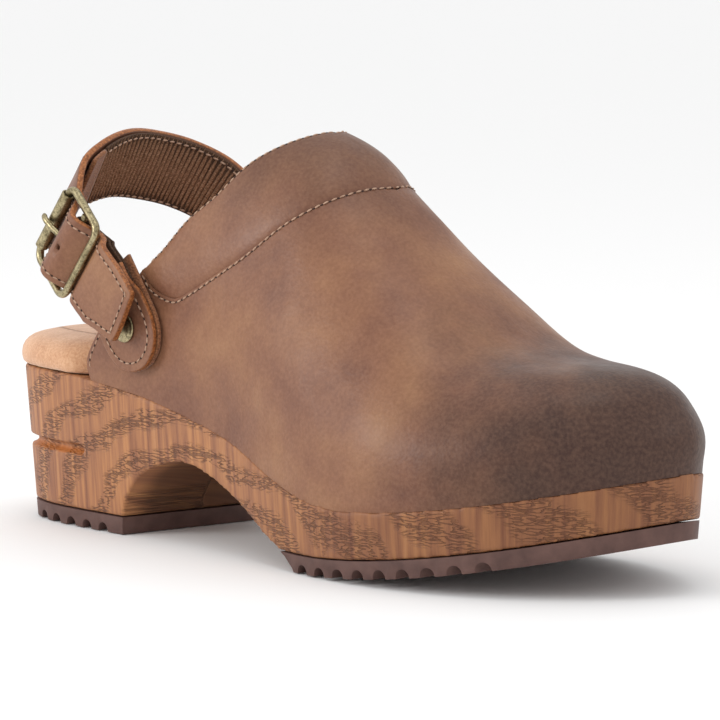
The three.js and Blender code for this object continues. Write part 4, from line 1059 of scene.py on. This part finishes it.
# %% Frames along a route: point, direction, across and out
INNER_ACROSS = np.array([math.sin(inner_lean), 0, math.cos(inner_lean)])


def frames(points, widths):
    made = []
    for i, p in enumerate(points):
        go = unit(points[min(i + 1, len(points) - 1)] - points[max(i - 1, 0)])
        wide = unit(widths[i] - go * widths[i].dot(go))
        made.append((p, go, wide, np.cross(wide, go)))
    return made


def wide_at(share):
    start, end = len(tail) / (len(knots) - 1), (len(tail) + len(weave)) / (len(knots) - 1)
    rear = np.array([0.43, 0, 0.9])
    if share < start:
        return mix(TAB_ACROSS, ACROSS, smooth(share / start))
    if share < end:
        return ACROSS
    t = (share - end) / (1 - end)
    return mix(ACROSS, rear, smooth(t / 0.3)) if t < 0.45 else mix(rear, INNER_ACROSS, smooth((t - 0.55) / 0.35))


weave_end = (len(tail) + len(weave)) / (len(knots) - 1)
shares = [*np.linspace(0, weave_end, 150)[:-1], *np.linspace(weave_end, 1, 110)]
route = frames([catmull(knots, t, centripetal=True) for t in shares], [wide_at(t) for t in shares])
travelled = np.concatenate([[0], np.cumsum([math.dist(a[0], b[0]) for a, b in zip(route, route[1:])])])
roller_at = float(np.interp(weave_end, shares, travelled))
print("strap length in mm", round(travelled[-1], 1), "roller at", round(roller_at, 1))


# %% [markdown]
# ## Strips of leather and webbing
# A strap is a section carried along its route. The section has round corners, and an attribute marks its cut
# edge, so that one material can show the waxed face and the raw orange edge.


# %% A round-cornered section, as (across, out, edge) points
def section(half, inner, outer, corner):
    right, left = half if isinstance(half, tuple) else (half, half)
    r = min(corner, (outer - inner) / 2.05, (right + left) * 0.22)
    middle, half = (right - left) / 2, (right + left) / 2
    points = []
    for sx, sz, start in ((1, 1, 0), (-1, 1, 90), (-1, -1, 180), (1, -1, 270)):
        for k in range(4):
            a = math.radians(start + 30 * k)
            x = middle + sx * (half - r) + r * math.cos(a)
            z = (outer - r if sz > 0 else inner + r) + r * math.sin(a)
            points.append((x, z, abs(math.cos(a)) ** 2))
        if sz > 0 and sx > 0 or sz < 0 and sx < 0:
            points += [(middle + sx * (half - r) * f, outer if sz > 0 else inner, 0.0) for f in (0.8, 0.4, 0.0, -0.4, -0.8)]
    return points


def strip(name, path, inner, outer, half, material, corner=0.7):
    points, edges = [], []
    for i, (p, _, wide, out) in enumerate(path):
        value = [v(i) if callable(v) else v for v in (half, inner, outer)]
        for x, z, edge in section(value[0], value[1], value[2], corner):
            points.append(p + wide * x + out * z)
            edges.append(edge)
    ring = len(points) // len(path)
    faces = grid_faces(len(path), ring, closed=True)
    for start in (0, ring * (len(path) - 1)):
        points.append(np.mean(points[start:start + ring], axis=0))
        edges.append(1.0)
        faces += [(len(points) - 1, start + k, start + (k + 1) % ring) for k in range(ring)]
    made = new_piece(name, points, faces, material)
    made.data.attributes.new("edge", "FLOAT", "POINT").data.foreach_set("value", edges)
    shape = bmesh.new()
    shape.from_mesh(made.data)
    bmesh.ops.recalc_face_normals(shape, faces=shape.faces)
    shape.to_mesh(made.data)
    shape.free()
    made.data.shade_smooth()
    return made


# %% Strap leather: the waxed face, with the raw edge where the attribute says so
strap_leather = leather.copy()
strap_leather.name = "waxed_cowhide_cut_edge"
tree = strap_leather.node_tree
shader = tree.nodes["Principled BSDF"]
face_colour = shader.inputs["Base Color"].links[0].from_socket
place = next(n for n in tree.nodes if n.bl_idname == "ShaderNodeTexCoord").outputs["Object"]
edge = node(tree, "ShaderNodeAttribute", attribute_name="edge").outputs["Fac"]
torn = node(tree, "ShaderNodeMath", {0: grain(tree, place, 1.2), 1: 0.5, 2: edge}, operation="MULTIPLY_ADD").outputs[0]
edge = node(tree, "ShaderNodeMapRange", {"Value": torn, "From Min": 0.55, "From Max": 0.85}).outputs["Result"]
cut_colour = ramp(tree, grain(tree, place, 0.8, detail=5), (0.3, "#633b25"), (0.5, "#94592f"), (0.7, "#b97a4c"))
both = node(tree, "ShaderNodeMixRGB", {"Fac": edge, "Color1": face_colour, "Color2": cut_colour}).outputs["Color"]
tree.links.new(both, shader.inputs["Base Color"])


# %% The strap's leather, with its rounded tail
def round_end(distance, reach, half):
    return half * math.sqrt(max(0.02, 1 - max(0.0, 1 - distance / reach) ** 2.4))


def strap_half(i):
    d, end = travelled[i], round_end(travelled[-1] - travelled[i], 11, STRAP / 2)
    right = min(end, -3.2 + 15.2 * min(1.0, d / 6.2) ** 0.85)
    left = min(end, 4.4 + 7.6 * min(1.0, d / 14) ** 0.8)
    return right, left


strap = strip("heel_strap_leather", route, -half_strap, half_strap, strap_half, strap_leather)
punch_points = []
for out in (-1.5, 9):
    punch_points += [buckle(-1 + 1.1 * math.cos(a), 1.1 * math.sin(a), out) for a in np.linspace(0, 2 * math.pi, 20, endpoint=False)]
punch = new_piece("punch", punch_points, grid_faces(2, 20, closed=True) + [list(range(20))[::-1], list(range(20, 40))])
tidy(punch)
cut(strap, punch)
place_piece(strap, "heel_strap", "oiled_leather", "strap_leather")


# %% Inside the strap: a leather facing behind the roller, then elastic webbing
def part_of_route(start, end):
    return [f for f, d in zip(route, travelled) if start <= d <= end]


webbing_from, webbing_to = roller_at + 11, travelled[-1] - 29
INNER = -half_strap - 0.8
facing = strip("strap_facing_leather", part_of_route(roller_at + 3, webbing_from), INNER - WEBBING, INNER, 11.7, raw_leather)
place_piece(facing, "heel_strap", "raw_leather", "strap_facing")
inner_tab = strip(
    "inner_tab_backing", part_of_route(travelled[-1] - 27, 1e9), -half_strap - GAP - 1.3, -half_strap - GAP,
    lambda i: round_end(27 - 27 * i / max(1, len(part_of_route(travelled[-1] - 27, 1e9)) - 1), 11, STRAP / 2), raw_leather, 0.4,
)
place_piece(inner_tab, "heel_strap", "raw_leather", "inner_tab_lining")

# %% [markdown]
# ## Stitches, ribs and other repeats
# Stitches and webbing ribs are the same small rounded bar, repeated along a line. A Geometry Nodes tree puts
# one on each point of a line, turned to the line's direction and the surface's normal, which the points carry.


# %% The tree: a rounded bar on every point, with its sizes as inputs
def bar_tree():
    tree = bpy.data.node_groups.new("bars_on_points", "GeometryNodeTree")
    tree.interface.new_socket("Points", in_out="INPUT", socket_type="NodeSocketGeometry")
    for name, default in (("Length", 0.002), ("Width", 0.0006), ("Height", 0.0005)):
        tree.interface.new_socket(name, in_out="INPUT", socket_type="NodeSocketFloat").default_value = default
    tree.interface.new_socket("Finish", in_out="INPUT", socket_type="NodeSocketMaterial")
    tree.interface.new_socket("Bars", in_out="OUTPUT", socket_type="NodeSocketGeometry")
    given, result = node(tree, "NodeGroupInput"), node(tree, "NodeGroupOutput")
    ball = node(tree, "GeometryNodeMeshUVSphere", {"Segments": 8, "Rings": 6, "Radius": 0.5}).outputs["Mesh"]
    size = node(tree, "ShaderNodeCombineXYZ", {
        "X": given.outputs["Length"], "Y": given.outputs["Width"], "Z": given.outputs["Height"],
    }).outputs["Vector"]
    go = node(tree, "GeometryNodeInputNamedAttribute", {"Name": "go"}, data_type="FLOAT_VECTOR").outputs["Attribute"]
    out = node(tree, "GeometryNodeInputNamedAttribute", {"Name": "out"}, data_type="FLOAT_VECTOR").outputs["Attribute"]
    turn = node(tree, "FunctionNodeAlignRotationToVector", {"Vector": go}, axis="X").outputs["Rotation"]
    turn = node(
        tree, "FunctionNodeAlignRotationToVector", {"Rotation": turn, "Vector": out}, axis="Z", pivot_axis="X",
    ).outputs["Rotation"]
    bars = node(tree, "GeometryNodeInstanceOnPoints", {
        "Points": given.outputs["Points"], "Instance": ball, "Rotation": turn, "Scale": size,
    }).outputs["Instances"]
    real = node(tree, "GeometryNodeRealizeInstances", {"Geometry": bars}).outputs["Geometry"]
    flat = node(tree, "GeometryNodeSetShadeSmooth", {"Geometry": real}).outputs["Geometry"]
    done = node(tree, "GeometryNodeSetMaterial", {"Geometry": flat, "Material": given.outputs["Finish"]}).outputs["Geometry"]
    tree.links.new(done, result.inputs["Bars"])
    return tree


BARS = bar_tree()


# %% Lay bars on points, each a (place, direction, normal) in millimetres
def bars(name, marks, length, width, height, material):
    made = new_piece(name, [p for p, _, _ in marks], [])
    for key, index in (("go", 1), ("out", 2)):
        values = np.array([m[index] for m in marks], np.float32).ravel()
        made.data.attributes.new(key, "FLOAT_VECTOR", "POINT").data.foreach_set("vector", values)
    change = made.modifiers.new("bars", "NODES")
    change.node_group = BARS
    sockets = {item.name: item.identifier for item in BARS.interface.items_tree if item.in_out == "INPUT"}
    for key, value in (("Length", length), ("Width", width), ("Height", height)):
        change[sockets[key]] = value / 1000
    change[sockets["Finish"]] = material
    settle(made)
    return made


# %% Marks at an even pitch along a line of (place, normal)
def marks_along(line, pitch, offset=0.0):
    points = np.array([p for p, _ in line])
    length = np.concatenate([[0], np.cumsum(np.linalg.norm(np.diff(points, axis=0), axis=1))])
    made = []
    for d in np.arange(offset + pitch / 2, length[-1], pitch):
        i = int(np.clip(np.searchsorted(length, d) - 1, 0, len(line) - 2))
        t = (d - length[i]) / max(1e-9, length[i + 1] - length[i])
        made.append((mix(points[i], points[i + 1], t), unit(points[i + 1] - points[i]), unit(mix(line[i][1], line[i + 1][1], t))))
    return made


STITCH = 2.7


def stitches(name, line, body, lift=0.1, length=2.0):
    """A row of stitches along a line, with painted shadow marks for the needle holes between them."""
    marks = [(p + out * lift, unit(go + 0.12 * np.cross(out, go)), out) for p, go, out in marks_along(line, STITCH)]
    holes = [(p + out * 0.02, go, out) for p, go, out in marks_along(line, STITCH, STITCH / 2)]
    place_piece(bars(name, marks, length, 0.62, 0.55, thread), body, "oiled_leather")
    place_piece(bars(name + "_holes", holes, 0.95, 0.7, 0.3, needle_hole), body, "oiled_leather")


# %% Stitches on the upper: along the seam, the rear edges and the topline
def beside_edge(ribs, inset, row, keep):
    line = []
    for k, r in enumerate(ribs):
        if keep(r[row]):
            inner = r[row - 1] if row else r[1]
            line.append((r[row] + unit(inner - r[row]) * inset, k))
    return line


def with_normals(points, side):
    made = []
    for p in points:
        made.append((p, surface_normal(p, side)))
    return made


def surface_normal(p, side):
    x = min(max(p[0], 30.0), 200.0)
    return last_normal(x, turn_at(x, p[2]), side)


for side, word in ((-1, "outer"), (1, "inner")):
    seam = [on_last(x, min(1.0, t + 0.008), side) for x, t in seam_ends]
    stitches(f"seam_stitches_{word}", with_normals(seam, side), "shoe", 0.25)
    edge_line = [(x + 1.5, z) for x, z in rear_edge if z < rise(0.42)]
    edge_line = [on_last(x, turn_at(x, z), side) for x, z in edge_line]
    stitches(f"rear_edge_stitches_{word}", with_normals(edge_line, side), "shoe", -0.05)

top_stitches = []
for i, line in enumerate(collar_lines):
    if 4 <= i <= len(collar_lines) - 5:
        k = COLLAR_STEPS - 1
        side = -1 if i < COLLAR_LINES else 1
        j = i if i < COLLAR_LINES else 2 * COLLAR_LINES - 2 - i
        top_stitches.append((line[k], last_normal(*top_ends[j], side)))
stitches("topline_stitches", top_stitches, "shoe", 0.12)


# %% Stitches round a strip: its outline, moved in from the edge, and laid on its face
def strip_outline(path, half, inset):
    distance = np.concatenate([[0], np.cumsum([math.dist(a[0], b[0]) for a, b in zip(path, path[1:])])])
    halves = [half(i) if isinstance(half(i), tuple) else (half(i), half(i)) for i in range(len(path))]
    right = [(d, h[0]) for d, h in zip(distance, halves)][::-1]
    left = [(d, -h[1]) for d, h in zip(distance, halves)]
    outline = np.array(right + left)
    moved = []
    for i in range(1, len(outline) - 1):
        step = outline[i + 1] - outline[i - 1]
        length = np.hypot(*step)
        if length > 1e-9:
            moved.append(outline[i] + np.array([-step[1], step[0]]) / length * inset)
    return distance, moved


def on_strip(path, distance, s, a, out):
    i = int(np.clip(np.searchsorted(distance, s) - 1, 0, len(path) - 2))
    t = (s - distance[i]) / max(1e-9, distance[i + 1] - distance[i])
    p, wide, normal = [mix(path[i][k], path[i + 1][k], t) for k in (0, 2, 3)]
    return p + wide * a + normal * out, normal


# %% [markdown]
# ## The tab and the elastic
# On the outer side a short leather tab is riveted to the upper. An elastic tape comes out between its two
# layers, goes round the buckle's centre bar and returns, so the strap can stretch as the foot goes in.

# %% The outer tab's two layers, with a pointed lower end
TAB, TAB_BELOW, TAB_ABOVE = 25.0, 14.0, 19.0
tab_ups = np.linspace(-TAB_BELOW, TAB_ABOVE, 60)
tab_route = frames([on_tab(up, 0, 0) for up in tab_ups], [TAB_ACROSS] * len(tab_ups))


def tab_half(width, reach=15):
    return lambda i: round_end(tab_ups[i] + TAB_BELOW, reach, width / 2)


def tab_lift(up):
    return (2 * ELASTIC + 2 * GAP) * smooth((up - 4.5 - 0.7) / 6.5)


backing = strip("outer_tab_backing", tab_route, 0.0, 1.3, tab_half(TAB), raw_leather, 0.4)
place_piece(backing, "heel_strap", "raw_leather", "outer_tab_lining")
tab_face = [i for i, up in enumerate(tab_ups) if up < 17.0]
tab = strip(
    "outer_tab_face", [tab_route[i] for i in tab_face], lambda i: 1.6 + tab_lift(tab_ups[i]),
    lambda i: 3.3 + tab_lift(tab_ups[i]), tab_half(TAB - 1), strap_leather, 0.6,
)
place_piece(tab, "heel_strap", "oiled_leather", "outer_tab_leather")
print("tab made", len(tab_face))

# %% The elastic tape: one loop round the centre bar
wrap = BAR_RADIUS + GAP + ELASTIC / 2
outer_pass = front_pass + half_strap + 2.6 * GAP + ELASTIC / 2
inner_pass = outer_pass + ELASTIC + 1.2 * GAP
outer_dive = math.asin((wrap + outer_pass) / FRONT_BAR)
inner_dive = math.asin((inner_pass - wrap) / FRONT_BAR)


def tape_arc(place, radius, start, end, count):
    return [buckle(place + radius * math.sin(a), 0, -radius * math.cos(a)) for a in np.linspace(start, end, count + 1)]


def leg_out(n):
    return 1.3 + GAP + ELASTIC / 2 + n * (ELASTIC + GAP)


tape_knots = np.array([
    *[on_tab(up, 0, leg_out(1)) for up in (11, 15, 18)], *tape_arc(-FRONT_BAR, outer_pass, -0.2, outer_dive, 4),
    *tape_arc(0, wrap, math.pi + outer_dive, inner_dive, 12), *tape_arc(-FRONT_BAR, inner_pass, inner_dive, -0.2, 3),
    *[on_tab(up, 0, leg_out(0)) for up in (18, 15, 11)],
])
tape_points = [catmull(tape_knots, t, centripetal=True) for t in np.linspace(0, 1, 170)]
tape_widths = [mix(TAB_ACROSS, ACROSS, smooth(1 - math.dist(p, BAR) / 17)) for p in tape_points]
tape = strip("buckle_elastic_tape", frames(tape_points, tape_widths), -ELASTIC / 2, ELASTIC / 2, 10.5, dark_webbing, 0.35)
place_piece(tape, "heel_strap", "webbing", "buckle_elastic")

# %% Stitch lines on the strap and on the tab
tail_route = [f for f, d in zip(route, travelled) if d < roller_at - 2]
distance, line = strip_outline(tail_route, strap_half, 2.4)
line = [on_strip(tail_route, distance, s, a, half_strap) for s, a in line if s > 0.5]
stitches("tail_stitches", line, "heel_strap")
tab_path = [tab_route[i] for i in tab_face]
distance, line = strip_outline(tab_path, tab_half(TAB - 1), 2.6)
line = [on_strip(tab_path, distance, s, a, 3.3 + tab_lift(s - TAB_BELOW)) for s, a in line]
stitches("tab_stitches", line, "heel_strap")
loop_route = [f for f, d in zip(route, travelled) if d > roller_at + 3]
loop_half = [strap_half(i)[0] for i, d in enumerate(travelled) if d > roller_at + 3]
for side, word in ((-1, "lower"), (1, "upper")):
    line = [(f[0] + f[2] * side * max(0.5, h - 2.4) + f[3] * half_strap, f[3]) for f, h in zip(loop_route, loop_half)]
    stitches(f"strap_stitches_{word}", line, "heel_strap")

# %% The webbing: a thin tape, and a rib on it for every elastic cord
RIB = 1.75
web_route = part_of_route(webbing_from, webbing_to)
web = strip("webbing_tape", web_route, INNER - WEBBING + 0.6, INNER, 11.7, dark_webbing, 0.3)
place_piece(web, "heel_strap", "webbing", "strap_webbing")
rib_marks = []
for p, go, out in marks_along([(f[0], f[3]) for f in web_route], RIB):
    wide = unit(np.cross(out, go))
    rib_marks.append((p + out * (INNER - WEBBING + 0.6), wide, -out))
ribs = bars("webbing_ribs", rib_marks, 23.8, 1.5, 1.2, webbing)
place_piece(ribs, "heel_strap", "webbing")
print("webbing ribs", len(rib_marks))

# %% Two rows of stitches hold the webbing's edges to the strap
for side, word in ((-1, "lower"), (1, "upper")):
    line = [(f[0] + f[2] * side * 10.6 + f[3] * (INNER - WEBBING + 0.1), -f[3]) for f in web_route]
    stitches(f"webbing_stitches_{word}", line, "heel_strap", 0.15)

# %% [markdown]
# ## The buckle
# The buckle is bent from brass-plated wire. Its rear bar carries a rolled sleeve, open at the ends, and the
# prong is a flattened wire with its eye round the centre bar. Each is a round section carried along a path.


# %% A round wire along points, closed into a ring or with rounded ends
def wire(name, points, radius, material, sides=16, closed=False, flat=1.0):
    n, made, up = len(points), [], OUT
    for i, p in enumerate(points):
        before = points[(i - 1) % n] if closed or i else points[0]
        after = points[(i + 1) % n] if closed or i + 1 < n else points[-1]
        go = unit(after - before)
        side = unit(np.cross(go, up)) if abs(go.dot(up)) < 0.98 else unit(np.cross(go, ACROSS))
        lift = np.cross(side, go)
        r = radius(i) if callable(radius) else radius
        made += [p + side * r * math.cos(a) + lift * r * flat * math.sin(a) for a in np.linspace(0, 2 * math.pi, sides, endpoint=False)]
    faces = grid_faces(n, sides, closed=True)
    if closed:
        faces += [((n - 1) * sides + k, (n - 1) * sides + (k + 1) % sides, (k + 1) % sides, k) for k in range(sides)]
    else:
        faces += [list(range(sides))[::-1], [(n - 1) * sides + k for k in range(sides)]]
    piece = new_piece(name, made, faces, material)
    tidy(piece)
    return piece


# %% The frame: a rectangle of wire with round corners; the real wire is a little flattened, this one is drawn round
def frame_path(corner=3.6, steps=10):
    half, points = BUCKLE_WIDTH / 2, []
    centres = [
        (REAR_BAR - corner, half - corner, 0), (-FRONT_BAR + corner, half - corner, 90),
        (-FRONT_BAR + corner, -half + corner, 180), (REAR_BAR - corner, -half + corner, 270),
    ]
    for b, s, start in centres:
        for k in range(steps + 1):
            a = math.radians(start + 90 * k / steps)
            points.append(buckle(b + corner * math.cos(a), s + corner * math.sin(a), 0))
        nxt = centres[(centres.index((b, s, start)) + 1) % 4]
        a = math.radians(start + 90)
        end = buckle(nxt[0] + corner * math.cos(a), nxt[1] + corner * math.sin(a), 0)
        points += [mix(points[-1], end, t) for t in (0.25, 0.5, 0.75)]
    return points


place_piece(wire("buckle_wire_frame", frame_path(), ROD, brass, closed=True), "heel_strap", "antique_brass", "buckle_frame")
reach = BUCKLE_WIDTH / 2 - ROD - GAP
place_piece(
    wire("buckle_middle_bar", [buckle(0, s, 0) for s in np.linspace(-reach, reach, 9)], BAR_RADIUS, brass),
    "heel_strap", "antique_brass", "buckle_centre_bar",
)


# %% The roller: a thin sleeve with an open bore and a rolled seam
def sleeve(reach):
    sides, rows = 32, []
    profile = [
        (-reach, ROLLER - 0.15), (-reach + 0.15, ROLLER), (reach - 0.15, ROLLER), (reach, ROLLER - 0.15),
        (reach, ROLLER_BORE), (-reach, ROLLER_BORE),
    ]
    for s, r in profile:
        rows += [buckle(REAR_BAR + r * math.cos(a), s, r * math.sin(a)) for a in np.linspace(0, 2 * math.pi, sides, endpoint=False)]
    faces = grid_faces(len(profile), sides, closed=True)
    last = (len(profile) - 1) * sides
    faces += [(last + k, last + (k + 1) % sides, (k + 1) % sides, k) for k in range(sides)]
    made = new_piece("buckle_roller_sleeve", rows, faces, brass)
    tidy(made)
    made.data.set_sharp_from_angle(angle=math.radians(40))
    return made


place_piece(sleeve(reach - 1.6), "roller", "antique_brass", "buckle_roller")

# %% The prong: an eye round the bar, a shank up through the strap, and a rounded tip on the roller
tip_out = ROLLER + GAP + 1.0 + 0.2
prong_knots = np.array([
    buckle(1.9, 0, 0.5), buckle(3.6, 0, 0.9), buckle(6, 0, 1.9), buckle(9, 0, 3),
    buckle(REAR_BAR, 0, tip_out), buckle(REAR_BAR + 2.8, 0, tip_out - 0.7),
])
shank = [catmull(prong_knots, t, centripetal=True) for t in np.linspace(0, 1, 40)]
prong = wire("buckle_prong_shank", shank, lambda i: 1.0 * math.sqrt(min(1.0, 0.05 + (39 - i) / 4)), brass, flat=0.9)
place_piece(prong, "prong", "antique_brass", "buckle_prong")
eye_path = [buckle(1.8 * math.cos(a), 0, 1.8 * math.sin(a)) for a in np.linspace(0, 2 * math.pi, 32, endpoint=False)]
eye = wire("buckle_prong_eye", eye_path, 0.44, brass, 10, closed=True)
place_piece(eye, "prong", "antique_brass")

# %% The studs: a domed cap with a rim, turned on a lathe, and its post
def stud(name, side, stack):
    centre = np.array([STUD_X, OUTER_PLANE if side < 0 else INNER_PLANE, STUD_Z])
    low = stack + GAP
    profile = [
        (1.6, -5.5), (1.6, low - 0.05), (4.2, low), (4.5, low + 0.25), (4.45, low + 0.55), (4.1, low + 0.75),
        (3.8, low + 0.72), (3.3, low + 1.05), (2.4, low + 1.3), (1.2, low + 1.4), (0.02, low + 1.42),
    ]
    sides, points = 40, []
    for r, out in profile:
        for a in np.linspace(0, 2 * math.pi, sides, endpoint=False):
            points.append(centre + np.array([r * math.cos(a), side * out, r * math.sin(a)]))
    faces = grid_faces(len(profile), sides, closed=True)
    faces += [list(range(sides)), [(len(profile) - 1) * sides + k for k in range(sides)]]
    made = new_piece(name, points, faces, brass)
    tidy(made)
    return made


place_piece(stud("outer_stud_cap", -1, 3.3), "shoe", "antique_brass", "outer_stud")
place_piece(stud("inner_stud_cap", 1, 3.8), "shoe", "antique_brass", "inner_stud")

# %% [markdown]
# ## The pieces that stay as they are
# The board, toe stiffener and washers sit inside the shoe. Their shape is right in the model,
# so they only get the finish of their real material. The foam and cushion nodes are hidden with the pieces that
# replace them.

# %% Give the kept nodes their finish
kept = {
    "insole_board": board, "toe_puff": board,
    "outer_stud_washer": brass, "inner_stud_washer": brass,
}
for name, material in kept.items():
    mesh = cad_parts[name].data
    mesh.materials.clear()
    mesh.materials.append(material)
print("kept nodes", sorted(kept))
